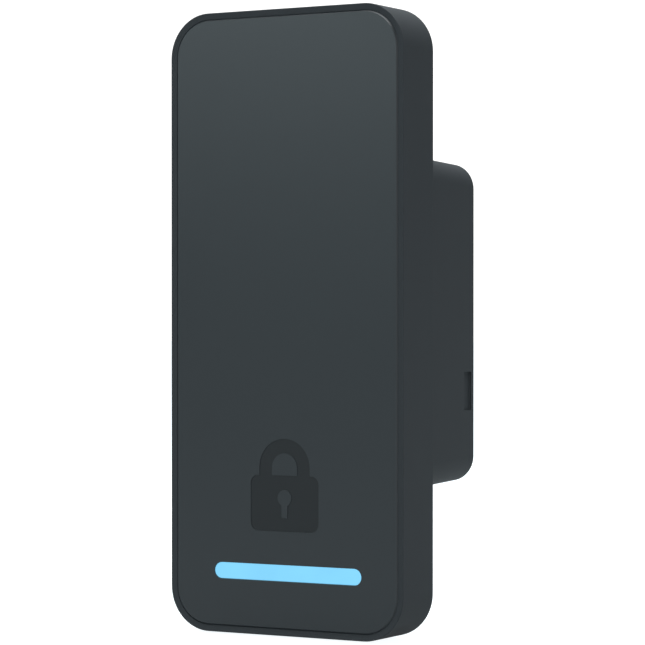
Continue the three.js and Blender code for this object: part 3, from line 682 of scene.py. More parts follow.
jack_window = rounded_slab(jack_high.x - jack_low.x + 0.5, jack_high.z - jack_low.z + 0.5,
                           10, BOX_BACK + PAST, 0.4, 0, (jack_low.z + jack_high.z) / 2, 4)
combine(rear_housing, jack_window)
label_seat = rounded_slab(label_high.x - label_low.x + 0.6, label_high.z - label_low.z + 0.6,
                          BOX_BACK - 0.3, BOX_BACK + PAST, 1, 0, (label_low.z + label_high.z) / 2, 6)
combine(rear_housing, label_seat)
holes = [round_hole(2.05, 10, BOX_BACK, RESET_X, RESET_Z, 0.25),
         round_hole(2.65, FLANGE_FRONT - PAST, 0, 0, TAMPER_Z, 0.2)]
for x, z in boss_places:
    holes.append(spun([(0, FLANGE_FRONT - PAST), (1.45, FLANGE_FRONT - PAST), (1.45, -1.35), (2.65, -1.35),
                       (2.65, -0.2), (2.85, 0), (2.85, 0.6), (0, 0.6)], x, z))
for x in (-1.6, 0, 1.6):
    holes.append(round_hole(0.5, FLANGE_FRONT - PAST, 0, x, -41, 0.12))
combine(rear_housing, together(*holes))
combine(rear_housing, rounded_slab(6.4, 4.2, FLANGE_FRONT - PAST, PAST, 0.5, 0, -51.9, 4))
pilots = [rod(PILOT_R, board_back - PAST, board_back + PILOT_DEPTH, i * POST_X, i * POST_Z, 24)
          for i in (1, -1)]
combine(rear_housing, together(*pilots))
even_shading(rear_housing)
fit(rear_housing, "reader", "shell_plastic", "rear_housing")

# ---------------------------------------------------------------- panel tape and light parts
# A closed-cell foam tape seals the panel to the frame. Behind the lens a clear acrylic guide sits in
# a white moulded shroud that keeps the light in, and five side-by-side LEDs on the main board light it.
TAPE_GREY = (0.010, 0.011, 0.012)
SHROUD_WHITE = (0.76, 0.77, 0.75)
PHOSPHOR = (0.85, 0.62, 0.12)
GUIDE_EDGE = 0.15


def soften_ends(shape, radius, steps=3):
    """Softens the front and rear edges of a plate."""
    for side in (-1, 1):
        soften(shape, face_towards(shape, side).edges, radius, steps)


def brick(low, high, radius=0.2, edge=0.08, steps=3):
    """A block between two corners, with round upright corners and softened front and rear edges."""
    size = high - low
    shape = rounded_slab(size.x, size.z, low.y, high.y, radius, (low.x + high.x) / 2, (low.z + high.z) / 2, 4)
    soften_ends(shape, edge, steps)
    return shape


tape_finish = plain_finish("foam_tape", MOULDED, specular=0.2, colour=TAPE_GREY, roughness=0.9,
                           grain_size=5000.0, grain_depth=0.5, mottle=0.3)
shroud_finish = plain_finish("white_shroud", MOULDED, colour=SHROUD_WHITE, roughness=0.45,
                             grain_size=7000.0, grain_depth=0.08, mottle=0.05)
phosphor_finish = plain_finish("led_phosphor", MOULDED, colour=PHOSPHOR, roughness=0.35, mottle=0.2)
guide_finish = plain_finish("clear_guide", MOULDED, colour=(0.86, 0.93, 0.96), roughness=0.08,
                            grain_size=2500.0, grain_depth=0.02, mottle=0.03, polish=0.08)
guide_finish.node_tree.nodes["Principled BSDF"].inputs["Transmission Weight"].default_value = 0.9


def frame_plate(inset, front, back):
    """A plate that follows the slab's outline, set in from it."""
    return rounded_slab(frame_size.x - 2 * inset, frame_size.z - 2 * inset, front, back, CORNER_R - inset)


def flat_ring(name, node, outer_inset, inner_inset, finish):
    """A flat ring that follows the slab's outline, as deep as a CAD node."""
    low, high = corners_of(node)
    made = make_piece(name, frame_plate(outer_inset, low.y, high.y), finish)
    combine(made, frame_plate(inner_inset, low.y - PAST, high.y + PAST))
    fit(made, "reader", "rubber", node)


flat_ring("foam_panel_tape", "panel_tape", RIM + 0.6, LEDGE_INSET - 0.2, tape_finish)

guide_low, guide_high = corners_of("light_guide")
guide_shape = pill(BAR_L - 0.4, BAR_H + 0.4, guide_low.y, guide_high.y)
soften_ends(guide_shape, GUIDE_EDGE)
light_guide = make_piece("acrylic_light_guide", guide_shape, guide_finish)
fit(light_guide, "reader", "clear_acrylic", "light_guide")

shroud_low, shroud_high = corners_of("light_shroud")
shroud_shape = pill(BAR_L + 4, BAR_H + 4, shroud_low.y, shroud_high.y)
soften_ends(shroud_shape, GUIDE_EDGE)
shroud = make_piece("white_light_shroud", shroud_shape, shroud_finish)
combine(shroud, pill(BAR_L + 0.8, BAR_H + 0.8, shroud_low.y - PAST, shroud_high.y + PAST))
fit(shroud, "reader", "white_plastic", "light_shroud")

led_windows = []
for number in range(1, 6):
    led_low, led_high = corners_of(f"led_{number}")
    led_x, led_z = (led_low.x + led_high.x) / 2, (led_low.z + led_high.z) / 2
    led = make_piece(f"led_cup_{number}", brick(led_low, led_high, 0.15, 0.05), shroud_finish)
    combine(led, spun([(0, led_low.y + 0.3), (0.62, led_low.y + 0.3), (0.82, led_low.y - 0.2),
                       (0, led_low.y - 0.2)], led_x, led_z, 32))
    fit(led, "reader", "white_plastic", f"led_{number}")
    led_windows.append(spun([(0, led_low.y + 0.12), (0.45, led_low.y + 0.1), (0.66, led_low.y + 0.06),
                             (0.6, led_low.y + 0.29), (0, led_low.y + 0.29)], led_x, led_z, 32))
phosphor = make_piece("led_phosphor_windows", together(*led_windows), phosphor_finish)
fit(phosphor, "reader", "white_plastic")

# ---------------------------------------------------------------- antenna and its ferrite
# The card antenna is a thin green board with a flat copper coil on its front, and a black ferrite sheet
# behind it that keeps the field off the main board. Both are glued to the rear of the panel.
MASK_GREEN = (0.006, 0.060, 0.034)
TRACK_GREEN = (0.014, 0.115, 0.062)
ANTENNA_GREEN = (0.008, 0.072, 0.041)
PAD_GOLD = (0.80, 0.58, 0.26)
COPPER_TONE = (0.78, 0.36, 0.20)


def link_by_type(tree, start, end):
    """Links two sockets. A Mix node names its sockets alike for each type, so its colour ones are used."""
    node = end.node
    if node.bl_idname == "ShaderNodeMix" and end.name in ("A", "B"):
        end = next(s for s in node.inputs if s.name == end.name and s.type == "RGBA")
    if start.node.bl_idname == "ShaderNodeMix":
        start = next(s for s in start.node.outputs if s.type == "RGBA")
    tree.links.new(start, end)


def board_group():
    """Solder mask over straight copper tracks, with small plated holes between them."""
    group = new_group(
        "printed_board",
        [("Mask", "NodeSocketColor", (*MASK_GREEN, 1)), ("Track", "NodeSocketColor", (*TRACK_GREEN, 1)),
         ("Pad", "NodeSocketColor", (*PAD_GOLD, 1)), ("Pitch", "NodeSocketFloat", 420.0)],
        [("Colour", "NodeSocketColor"), ("Roughness", "NodeSocketFloat"), ("Normal", "NodeSocketVector")])
    into = add_node(group, "NodeGroupInput", (-1100, 0))
    out = add_node(group, "NodeGroupOutput", (800, 0))
    spot = add_node(group, "ShaderNodeTexCoord", (-1300, -300))
    flat = add_node(group, "ShaderNodeMapping", (-1100, -300))
    flat.inputs["Rotation"].default_value = (math.pi / 2, 0, 0)
    tracks = add_node(group, "ShaderNodeTexBrick", (-850, 100), mortar_size=0.05, brick_width=1.7,
                      row_height=0.42, mortar_smooth=0.1)
    dots = add_node(group, "ShaderNodeTexVoronoi", (-850, -350), randomness=0.9)
    spread = add_node(group, "ShaderNodeMath", (-1000, -550), operation="MULTIPLY")
    spread.inputs[1].default_value = 0.9
    hole = add_node(group, "ShaderNodeMapRange", (-600, -350), from_min=0.13, from_max=0.17,
                    to_min=1.0, to_max=0.0)
    lay = add_node(group, "ShaderNodeMix", (-350, 150), data_type="RGBA")
    plate_mix = add_node(group, "ShaderNodeMix", (0, 150), data_type="RGBA")
    rough = add_node(group, "ShaderNodeMapRange", (0, -100), to_min=0.42, to_max=0.24)
    height = add_node(group, "ShaderNodeMath", (0, -350), operation="ADD")
    bump = add_node(group, "ShaderNodeBump", (300, -350), distance=0.00003, strength=0.4)
    for start, end in (
        (spot.outputs["Object"], flat.inputs["Vector"]),
        (flat.outputs["Vector"], tracks.inputs["Vector"]),
        (flat.outputs["Vector"], dots.inputs["Vector"]),
        (into.outputs["Pitch"], tracks.inputs["Scale"]),
        (into.outputs["Pitch"], spread.inputs[0]),
        (spread.outputs["Value"], dots.inputs["Scale"]),
        (dots.outputs["Distance"], hole.inputs["Value"]),
        (tracks.outputs["Fac"], lay.inputs["Factor"]),
        (into.outputs["Mask"], lay.inputs["A"]),
        (into.outputs["Track"], lay.inputs["B"]),
        (hole.outputs["Result"], plate_mix.inputs["Factor"]),
        (lay.outputs["Result"], plate_mix.inputs["A"]),
        (into.outputs["Pad"], plate_mix.inputs["B"]),
        (hole.outputs["Result"], rough.inputs["Value"]),
        (tracks.outputs["Fac"], height.inputs[0]),
        (hole.outputs["Result"], height.inputs[1]),
        (height.outputs["Value"], bump.inputs["Height"]),
        (plate_mix.outputs["Result"], out.inputs["Colour"]),
        (rough.outputs["Result"], out.inputs["Roughness"]),
        (bump.outputs["Normal"], out.inputs["Normal"]),
    ):
        link_by_type(group, start, end)
    return group


def metal_group():
    """Fine drawing lines, cloudy tarnish and a roughness that goes with it."""
    group = new_group(
        "worked_metal",
        [("Colour", "NodeSocketColor", (0.6, 0.6, 0.6, 1)), ("Roughness", "NodeSocketFloat", 0.3),
         ("Tarnish", "NodeSocketFloat", 0.2), ("Line Depth", "NodeSocketFloat", 0.15)],
        [("Colour", "NodeSocketColor"), ("Roughness", "NodeSocketFloat"), ("Normal", "NodeSocketVector")])
    into = add_node(group, "NodeGroupInput", (-900, 0))
    out = add_node(group, "NodeGroupOutput", (600, 0))
    spot = add_node(group, "ShaderNodeTexCoord", (-1100, -300))
    drawn = add_node(group, "ShaderNodeMapping", (-900, -300))
    drawn.inputs["Scale"].default_value = (1.0, 0.08, 1.0)
    lines = add_node(group, "ShaderNodeTexNoise", (-650, -300), scale=9000.0, detail=3.0)
    cloud = add_node(group, "ShaderNodeTexNoise", (-650, 100), scale=350.0, detail=5.0, distortion=0.4)
    darken = add_node(group, "ShaderNodeMath", (-400, 150), operation="MULTIPLY")
    keep = add_node(group, "ShaderNodeMath", (-200, 150), operation="SUBTRACT")
    keep.inputs[0].default_value = 1.0
    tint = add_node(group, "ShaderNodeVectorMath", (50, 150), operation="SCALE")
    rough = add_node(group, "ShaderNodeMath", (50, -50), operation="MULTIPLY_ADD")
    rough.inputs[1].default_value = 0.5
    bump = add_node(group, "ShaderNodeBump", (50, -300), distance=0.00002)
    for start, end in (
        (spot.outputs["Object"], drawn.inputs["Vector"]),
        (drawn.outputs["Vector"], lines.inputs["Vector"]),
        (spot.outputs["Object"], cloud.inputs["Vector"]),
        (cloud.outputs["Fac"], darken.inputs[0]),
        (into.outputs["Tarnish"], darken.inputs[1]),
        (darken.outputs["Value"], keep.inputs[1]),
        (into.outputs["Colour"], tint.inputs[0]),
        (keep.outputs["Value"], tint.inputs["Scale"]),
        (darken.outputs["Value"], rough.inputs[0]),
        (into.outputs["Roughness"], rough.inputs[2]),
        (lines.outputs["Fac"], bump.inputs["Height"]),
        (into.outputs["Line Depth"], bump.inputs["Strength"]),
        (tint.outputs["Vector"], out.inputs["Colour"]),
        (rough.outputs["Value"], out.inputs["Roughness"]),
        (bump.outputs["Normal"], out.inputs["Normal"]),
    ):
        group.links.new(start, end)
    return group


BOARD = board_group()
METAL = metal_group()

board_finish = plain_finish("green_board", BOARD)
antenna_finish = plain_finish("antenna_board_mask", BOARD, mask=MASK_GREEN, track=ANTENNA_GREEN,
                              pad=ANTENNA_GREEN, pitch=900.0)
copper_finish = plain_finish("copper_track", METAL, metallic=1.0, colour=COPPER_TONE, roughness=0.32,
                             tarnish=0.35)
ferrite_finish = plain_finish("ferrite_grain", MOULDED, specular=0.3, colour=(0.020, 0.019, 0.020),
                              roughness=0.75, grain_size=9000.0, grain_depth=0.6, mottle=0.5)


def dress(finish, *nodes):
    """Gives carried-over CAD nodes a finish."""
    for node in nodes:
        for material_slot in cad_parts[node].material_slots:
            material_slot.material = finish


antenna_low, antenna_high = corners_of("antenna_board")
antenna = make_piece("antenna_board_sheet", brick(antenna_low, antenna_high, 2, 0.06), antenna_finish)
fit(antenna, "reader", "circuit_board", "antenna_board")
ferrite_low, ferrite_high = corners_of("ferrite_sheet")
ferrite = make_piece("ferrite_backing", brick(ferrite_low, ferrite_high, 1.5, 0.05), ferrite_finish)
fit(ferrite, "reader", "ferrite", "ferrite_sheet")
dress(copper_finish, "antenna_coil")

# ---------------------------------------------------------------- board carrier and antenna contacts
# A black moulded frame stands between the front frame's ledge and the main board, with four screw posts
# and a window for the two sprung contacts that join the antenna board to the main board.
CONTACT_T = 0.14

carrier_finish = plain_finish("black_carrier", MOULDED, specular=0.35, colour=(0.011, 0.012, 0.013),
                              roughness=0.6, grain_size=6000.0, grain_depth=0.25, mottle=0.15)
gold_finish = plain_finish("gold_contact", METAL, metallic=1.0, colour=(0.86, 0.63, 0.30), roughness=0.24,
                           tarnish=0.15)
dress(carrier_finish, "board_carrier")


def made_verts(extruded):
    """The vertices among the parts that an extrusion made."""
    return [part for part in extruded if isinstance(part, bmesh.types.BMVert)]


def bent_strip(path, width, thickness):
    """A strip of sheet metal that follows a bent (y, z) path, centred on X = 0."""
    shape = bmesh.new()
    verts = [shape.verts.new((-width / 2, y, z)) for y, z in path]
    edges = [shape.edges.new(pair) for pair in zip(verts, verts[1:])]
    swept = bmesh.ops.extrude_edge_only(shape, edges=edges)["geom"]
    bmesh.ops.translate(shape, vec=(width, 0, 0), verts=made_verts(swept))
    bmesh.ops.solidify(shape, geom=shape.faces[:], thickness=thickness)
    bmesh.ops.recalc_face_normals(shape, faces=shape.faces)
    return shape


for number in (1, 2):
    low, high = corners_of(f"antenna_contact_{number}")
    depth = high.y - low.y - 2 * CONTACT_T
    middle = (low + high) / 2
    blade = bent_strip([(high.y - CONTACT_T, high.z - 0.1), (high.y - CONTACT_T, low.z + 0.9),
                        (high.y - CONTACT_T - 0.25 * depth, low.z + 0.3),
                        (high.y - CONTACT_T - 0.5 * depth, low.z + 0.5),
                        (low.y + CONTACT_T + 0.12, high.z - 1.4), (low.y + CONTACT_T, high.z - 0.9),
                        (low.y + CONTACT_T + 0.25, high.z - 0.4)], high.x - low.x, CONTACT_T)
    bmesh.ops.translate(blade, vec=(middle.x, 0, 0), verts=blade.verts)
    contact = make_piece(f"sprung_contact_{number}", blade, gold_finish)
    fit(contact, "reader", "brass", f"antenna_contact_{number}")

# ---------------------------------------------------------------- main board and its parts
# The main board is a four-layer green board with the radio under a pressed steel can, the processor,
# the card-reader chip, memory, a crystal, the buzzer and the socket for the power board.
EPOXY = (0.013, 0.013, 0.014)
STEEL_TONE = (0.60, 0.60, 0.59)
DIMPLE_R = 0.34
DIMPLE_DEPTH = 0.08
SHIELD_T = 0.25
SHIELD_HOLE_R = 0.55
SHIELD_HOLE_PITCH = 3.2
BUZZER_HOLE_R = 0.9

chip_finish = plain_finish("chip_epoxy", MOULDED, specular=0.35, colour=EPOXY, roughness=0.55,
                           grain_size=9000.0, grain_depth=0.3, mottle=0.15)
steel_finish = plain_finish("bright_steel", METAL, metallic=1.0, colour=STEEL_TONE, roughness=0.28)
tin_finish = plain_finish("tinned_lead", METAL, metallic=1.0, colour=(0.72, 0.72, 0.70), roughness=0.35,
                          tarnish=0.3)
resistor_finish = plain_finish("resistor_body", MOULDED, colour=(0.020, 0.021, 0.024), roughness=0.4,
                               mottle=0.2)
ceramic_finish = plain_finish("capacitor_ceramic", MOULDED, colour=(0.30, 0.20, 0.12), roughness=0.45,
                              mottle=0.2)
dress(board_finish, "main_board")
board_rear = corners_of("main_board")[1].y


def placed(shape, x, y, z, quarter_turns=0):
    """Turns a shape about the Y line by quarter turns and moves it."""
    bmesh.ops.rotate(shape, cent=(0, 0, 0), matrix=Matrix.Rotation(quarter_turns * math.pi / 2, 3, "Y"),
                     verts=shape.verts)
    bmesh.ops.translate(shape, vec=(x, y, z), verts=shape.verts)
    return shape


def lead_rows(low, high, seat, reach, count, pitch, width, sides, lift=0.42):
    """Gull-wing leads along some sides of a chip: 0 and 2 are its top and bottom, 1 and 3 its ends."""
    middle = (low + high) / 2
    half = (high - low) / 2
    rows = []
    for side in sides:
        across = half.z if side % 2 == 0 else half.x
        for n in range(count):
            lead = bent_strip([(lift, -0.15), (lift, 0.3 * reach), (0.07, 0.55 * reach), (0.07, reach)],
                              width, 0.12)
            bmesh.ops.translate(lead, vec=((n - (count - 1) / 2) * pitch, 0, across - reach),
                                verts=lead.verts)
            rows.append(placed(lead, middle.x, seat, middle.z, side))
    return together(*rows)


def chip_body(node, inset_x, inset_z, seat, gap):
    """A moulded chip body inside its CAD box, with a round dimple that marks pin one."""
    low, high = corners_of(node)
    low, high = low.copy(), high.copy()
    low += Vector((inset_x, 0, inset_z))
    high -= Vector((inset_x, 0, inset_z))
    low.y = seat + gap
    made = make_piece(f"{node}_body", brick(low, high, 0.12, 0.07), chip_finish)
    combine(made, rod(DIMPLE_R, high.y - DIMPLE_DEPTH, high.y + PAST, low.x + 0.8, high.z - 0.8, 24))
    return made


for node, reach, count, pitch, width, sides in (
        ("processor_chip", 0.95, 14, 0.48, 0.22, (0, 1, 2, 3)),
        ("memory_chip", 0.9, 4, 1.2, 0.4, (1, 3)),
        ("reader_chip", 0.0, 8, 0.5, 0.25, (0, 1, 2, 3)),
        ("radio_chip", 0.0, 10, 0.5, 0.25, (0, 1, 2, 3))):
    low, high = corners_of(node)
    flat_pack = reach == 0.0
    inset_x = reach if 1 in sides else 0.0
    inset_z = reach if 0 in sides else 0.0
    body = chip_body(node, inset_x, inset_z, board_rear, 0.02 if flat_pack else 0.12)
    fit(body, "reader", "chip_epoxy", node)
    reach = reach or 0.16
    leads = make_piece(f"{node}_leads", lead_rows(low, high, board_rear, reach, count, pitch, width, sides,
                                                 0.1 if flat_pack else 0.42), tin_finish)
    fit(leads, "reader", "steel")

shield_low, shield_high = corners_of("radio_shield")
shield = make_piece("radio_shield_can", brick(shield_low, shield_high, 0.8, 0.2), steel_finish)
shield_size = shield_high - shield_low
combine(shield, rounded_slab(
    shield_size.x - 2 * SHIELD_T, shield_size.z - 2 * SHIELD_T, shield_low.y - PAST, shield_high.y - SHIELD_T,
    0.5, (shield_low.x + shield_high.x) / 2, (shield_low.z + shield_high.z) / 2, 4))
combine(shield, together(*[
    rod(SHIELD_HOLE_R, shield_high.y - PAST, shield_high.y + PAST,
        shield_low.x + SHIELD_HOLE_PITCH * (i + 1), shield_low.z + 3.3 + SHIELD_HOLE_PITCH * k, 20)
    for i in range(4) for k in range(3)]))
fit(shield, "reader", "steel", "radio_shield")

crystal_low, crystal_high = corners_of("crystal")
crystal_base = crystal_high.copy()
crystal_base.y = crystal_low.y + 0.25
crystal = make_piece("crystal_can", brick(crystal_low, crystal_base, 0.4, 0.05), steel_finish)
combine(crystal, brick(crystal_low + Vector((0.2, 0.1, 0.2)), crystal_high - Vector((0.2, 0, 0.2)),
                       0.35, 0.1), "UNION")
fit(crystal, "reader", "steel", "crystal")

buzzer_low, buzzer_high = corners_of("buzzer")
BUZZER_R = (buzzer_high.x - buzzer_low.x) / 2
buzzer_top = buzzer_high.y
buzzer = make_piece("buzzer_can", spun([
    (0, buzzer_top - 0.7), (BUZZER_HOLE_R, buzzer_top - 0.7), (BUZZER_HOLE_R, buzzer_top - 0.1),
    (BUZZER_HOLE_R + 0.1, buzzer_top),
    (BUZZER_R - 0.5, buzzer_top), (BUZZER_R - 0.15, buzzer_top - 0.12), (BUZZER_R, buzzer_top - 0.45),
    (BUZZER_R, buzzer_low.y + 0.5), (BUZZER_R - 0.15, buzzer_low.y + 0.45), (BUZZER_R - 0.15, buzzer_low.y),
    (0, buzzer_low.y)], (buzzer_low.x + buzzer_high.x) / 2, (buzzer_low.z + buzzer_high.z) / 2), chip_finish)
fit(buzzer, "reader", "chip_epoxy", "buzzer")


def small_parts(places, seat, size, body_finish, name):
    """Chip resistors or capacitors with tinned ends, all of one size."""
    width, tall, high_up = size
    parts = []
    for x, z in places:
        part = rounded_slab(width, tall, seat + 0.01, seat + high_up, 0.03, x, z, 2)
        for cut_x in (x - 0.3 * width, x + 0.3 * width):
            bmesh.ops.bisect_plane(part, geom=part.verts[:] + part.edges[:] + part.faces[:],
                                   plane_co=(cut_x, 0, 0), plane_no=(1, 0, 0))
        for face in part.faces:
            face.material_index = int(abs(face.calc_center_median().x - x) > 0.3 * width)
        parts.append(part)
    made = make_piece(name, together(*parts), body_finish, tin_finish)
    fit(made, "reader", "chip_epoxy")
    return made


resistor_places = [(-14 + 3.5 * n, 31.5) for n in range(9)] + [(-14 + 3.5 * n, -12) for n in range(9)]
resistor_places += [(-12 + 4 * n, -20) for n in range(7)] + [(16.3, 16 + 2 * n) for n in range(4)]
ceramic_places = [(5.6 + 2.6 * n, 12.6) for n in range(4)] + [(-12 + 2.4 * n, 1) for n in range(3)]
ceramic_places += [(7 + 2.4 * n, 2) for n in range(3)] + [(-10 + 5 * n, -27) for n in range(5)]
small_parts(resistor_places, board_rear, (1.0, 0.5, 0.35), resistor_finish, "chip_resistors")
small_parts(ceramic_places, board_rear, (1.6, 0.8, 0.8), ceramic_finish, "chip_capacitors")

# ---------------------------------------------------------------- board socket and header
# A black two-row socket on the main board takes the header that stands on the front of the power board,
# so that the rear box carries no loose wires.
socket_low, socket_high = corners_of("board_socket")
socket_middle = (socket_low + socket_high) / 2
SLOT_W = 14.2
SLOT_H = 1.6
BLADE_W = 13.6
BLADE_H = 1.0
SOCKET_WAYS = 12
SOCKET_PITCH = 1.27
HEADER_ROOT = -0.3
connector_finish = plain_finish("connector_plastic", MOULDED, specular=0.4, colour=(0.014, 0.014, 0.015),
                                roughness=0.45, grain_size=7000.0, grain_depth=0.12, mottle=0.12)
lead_room = Vector((0, 0, 0.55))
socket = make_piece("board_socket_body", brick(socket_low + lead_room, socket_high - lead_room, 0.2, 0.1),
                    connector_finish)
combine(socket, rounded_slab(SLOT_W, SLOT_H, socket_low.y + 0.6, socket_high.y + PAST, 0.1,
                             socket_middle.x, socket_middle.z, 2))
fit(socket, "reader", "chip_epoxy", "board_socket")
socket_leads = make_piece("board_socket_leads", lead_rows(
    socket_low, socket_high, socket_low.y, 0.75, SOCKET_WAYS, SOCKET_PITCH, 0.45, (0, 2)), tin_finish)
fit(socket_leads, "reader", "steel")

header_low, header_high = corners_of("board_header")
header_root = header_low.copy()
header_root.y = HEADER_ROOT
header = make_piece("board_header_body", brick(header_root, header_high, 0.2, 0.1), connector_finish)
blade_shape = rounded_slab(BLADE_W, BLADE_H, header_low.y, HEADER_ROOT + 0.3, 0.1, socket_middle.x,
                           socket_middle.z, 2)
soften(blade_shape, face_towards(blade_shape, -1).edges, 0.15)
combine(header, blade_shape, "UNION")
fit(header, "reader", "black_plastic", "board_header")

# ---------------------------------------------------------------- power board and its parts
# The power board in the rear box carries the network jack and a small isolated supply: a transformer
# with a ferrite core and yellow tape, a bridge rectifier, two can capacitors and a shielded inductor.
TAPE_YELLOW = (0.72, 0.50, 0.06)
ALUMINIUM = (0.80, 0.81, 0.82)
SLEEVE = (0.012, 0.013, 0.022)
CORE_W = 13.0
CORE_LIFT = 1.0
BOBBIN_H = 9.0
BOBBIN_FLOOR = 1.6
WINDING_W = 14.0
WINDING_H = 8.4
WINDING_TOP = 7.3
CAN_LIP = 0.1

dress(board_finish, "power_board")
core_low, core_high = corners_of("transformer")
core_middle = (core_low + core_high) / 2
bobbin_finish = plain_finish("bobbin_plastic", MOULDED, colour=(0.016, 0.016, 0.017), roughness=0.5,
                             mottle=0.12)
yellow_finish = plain_finish("transformer_tape", MOULDED, colour=TAPE_YELLOW, roughness=0.3,
                             grain_size=2500.0, grain_depth=0.2, mottle=0.12, polish=0.1)


def block_about(middle, width, height, front, back, *rounding):
    """A brick centred on a point, between two Y planes."""
    half = Vector((width / 2, 0, height / 2))
    low, high = middle - half, middle + half
    low.y, high.y = front, back
    return brick(low, high, *rounding)


core_size = core_high - core_low
core = make_piece("transformer_core", block_about(
    core_middle, CORE_W, core_size.z, board_back + CORE_LIFT, core_high.y, 0.3, 0.25), ferrite_finish)
combine(core, rounded_slab(15, 9.4, board_back - PAST, board_back + 8, 0.2, core_middle.x, core_middle.z, 2))
fit(core, "reader", "ferrite", "transformer")
bobbin = make_piece("transformer_bobbin", block_about(
    core_middle, core_size.x, BOBBIN_H, board_back, board_back + BOBBIN_FLOOR, 0.3, 0.15), bobbin_finish)
fit(bobbin, "reader", "chip_epoxy")
winding = make_piece("transformer_winding", block_about(
    core_middle, WINDING_W, WINDING_H, board_back + BOBBIN_FLOOR + 0.05, board_back + WINDING_TOP,
    1.2, 0.8, 5), yellow_finish)
fit(winding, "reader", "chip_epoxy")

can_finish = plain_finish("can_aluminium", METAL, metallic=1.0, colour=ALUMINIUM, roughness=0.3, tarnish=0.12)
sleeve_finish = plain_finish("can_sleeve", MOULDED, colour=SLEEVE, roughness=0.32, grain_size=3000.0,
                             grain_depth=0.08, mottle=0.1, polish=0.1)
for number in (1, 2):
    low, high = corners_of(f"capacitor_{number}")
    middle = (low + high) / 2
    radius = (high.x - low.x) / 2
    can = spun([(0, low.y), (radius - 0.2, low.y), (radius, low.y + 0.2), (radius, low.y + 1.1),
                (radius - 0.25, low.y + 1.3), (radius - 0.25, low.y + 1.5), (radius, low.y + 1.7),
                (radius, high.y - 0.35), (radius - 0.1, high.y - 0.12), (radius - 0.32, high.y),
                (radius - 0.55, high.y - 0.03), (radius - 0.6, high.y - CAN_LIP), (0, high.y - CAN_LIP)],
               middle.x, middle.z)
    for face in can.faces:
        face.material_index = int(face.calc_center_median().y < high.y - 0.9 * CAN_LIP)
    capacitor = make_piece(f"can_capacitor_{number}", can, can_finish, sleeve_finish)
    for width, tall in ((3.6, 0.22), (0.22, 3.6)):
        combine(capacitor, rounded_slab(width, tall, high.y - 0.2, high.y + PAST, 0, middle.x, middle.z))
    fit(capacitor, "reader", "can_aluminium", f"capacitor_{number}")

inductor_low, inductor_high = corners_of("inductor")
inductor_shape = brick(inductor_low, inductor_high, 1.2, 0.3)
sink(inductor_shape, face_towards(inductor_shape, 1), 0.5, 0.25, 0.1)
inductor = make_piece("shielded_inductor", inductor_shape, ferrite_finish)
fit(inductor, "reader", "chip_epoxy", "inductor")

rectifier_low, rectifier_high = corners_of("rectifier")
rectifier = chip_body("rectifier", 0.0, 0.7, board_back, 0.15)
fit(rectifier, "reader", "chip_epoxy", "rectifier")
rectifier_leads = make_piece("rectifier_leads", lead_rows(
    rectifier_low, rectifier_high, board_back, 0.7, 2, 3.4, 0.8, (0, 2), 0.9), tin_finish)
fit(rectifier_leads, "reader", "steel")
supply_places = [(-16 + 4 * n, -21) for n in range(3)] + [(8 + 4 * n, -22) for n in range(3)]
supply_places += [(16, -4 + 3 * n) for n in range(2)]
small_parts(supply_places, board_back, (1.6, 0.8, 0.8), ceramic_finish, "supply_capacitors")

# ---------------------------------------------------------------- network jack
# A standard eight-way jack that opens to the rear: a black insert with eight gold spring wires, in a
# folded bright steel shell with two spring tabs on each side.
JACK_WALL = 0.3
PLUG_W = 11.9
PLUG_H = 7.0
LATCH_W = 6.4
LATCH_H = 2.6
PLUG_FLOOR = 7.6
SHELL_ROOM = 0.2
jack_middle = (jack_low + jack_high) / 2
PLUG_Z = jack_middle.z + 0.9

jack_shell = make_piece("jack_steel_shell", brick(jack_low, jack_high, 0.35, 0.14), steel_finish)
jack_size = jack_high - jack_low
combine(jack_shell, rounded_slab(jack_size.x - 2 * JACK_WALL, jack_size.z - 2 * JACK_WALL, jack_low.y - PAST,
                                 jack_high.y - JACK_WALL, 0.1, 0, jack_middle.z, 2))
for width, tall, z in ((PLUG_W, PLUG_H, PLUG_Z), (LATCH_W, LATCH_H, PLUG_Z - (PLUG_H + LATCH_H) / 2 + 0.4)):
    combine(jack_shell, rounded_slab(width + SHELL_ROOM, tall + SHELL_ROOM, PLUG_FLOOR, jack_high.y + PAST,
                                     0.08, 0, z, 2))
combine(jack_shell, together(*[
    rounded_slab(1.0, 1.0, jack_high.y - 8, jack_high.y - 3, 0.2, i * jack_high.x, jack_middle.z + k, 2)
    for i in (1, -1) for k in (-3.4, 3.4)]))
fit(jack_shell, "reader", "steel", "jack_shell")
dress(connector_finish, "jack_insert")
dress(gold_finish, "jack_contacts")

# ---------------------------------------------------------------- seal, vent and rating label
# A rubber cord seal lies between frame and flange. A white membrane behind the sound holes lets air and
# the buzzer's tone through and keeps water out. The plain silver label is glued into its shallow seat.
LABEL_EDGE = 0.45
LABEL_LINE = 0.15

seal_finish = plain_finish("rubber_seal", MOULDED, specular=0.25, colour=(0.012, 0.012, 0.013), roughness=0.8,
                           grain_size=5000.0, grain_depth=0.2, mottle=0.2)
membrane_finish = plain_finish("vent_membrane_felt", MOULDED, specular=0.1, colour=(0.74, 0.75, 0.74),
                               roughness=0.95, grain_size=3500.0, grain_depth=0.8, mottle=0.12)
label_finish = plain_finish("label_film", MOULDED, specular=0.5, colour=(0.47, 0.48, 0.49), roughness=0.34,
                            grain_size=4000.0, grain_depth=0.06, mottle=0.05, polish=0.12)
border_finish = plain_finish("label_border", MOULDED, specular=0.4, colour=(0.06, 0.065, 0.07), roughness=0.4,
                             mottle=0.05)
flat_ring("rubber_housing_gasket", "housing_gasket", FLANGE_INSET + 0.1, SIDE_WALL + 0.25, seal_finish)

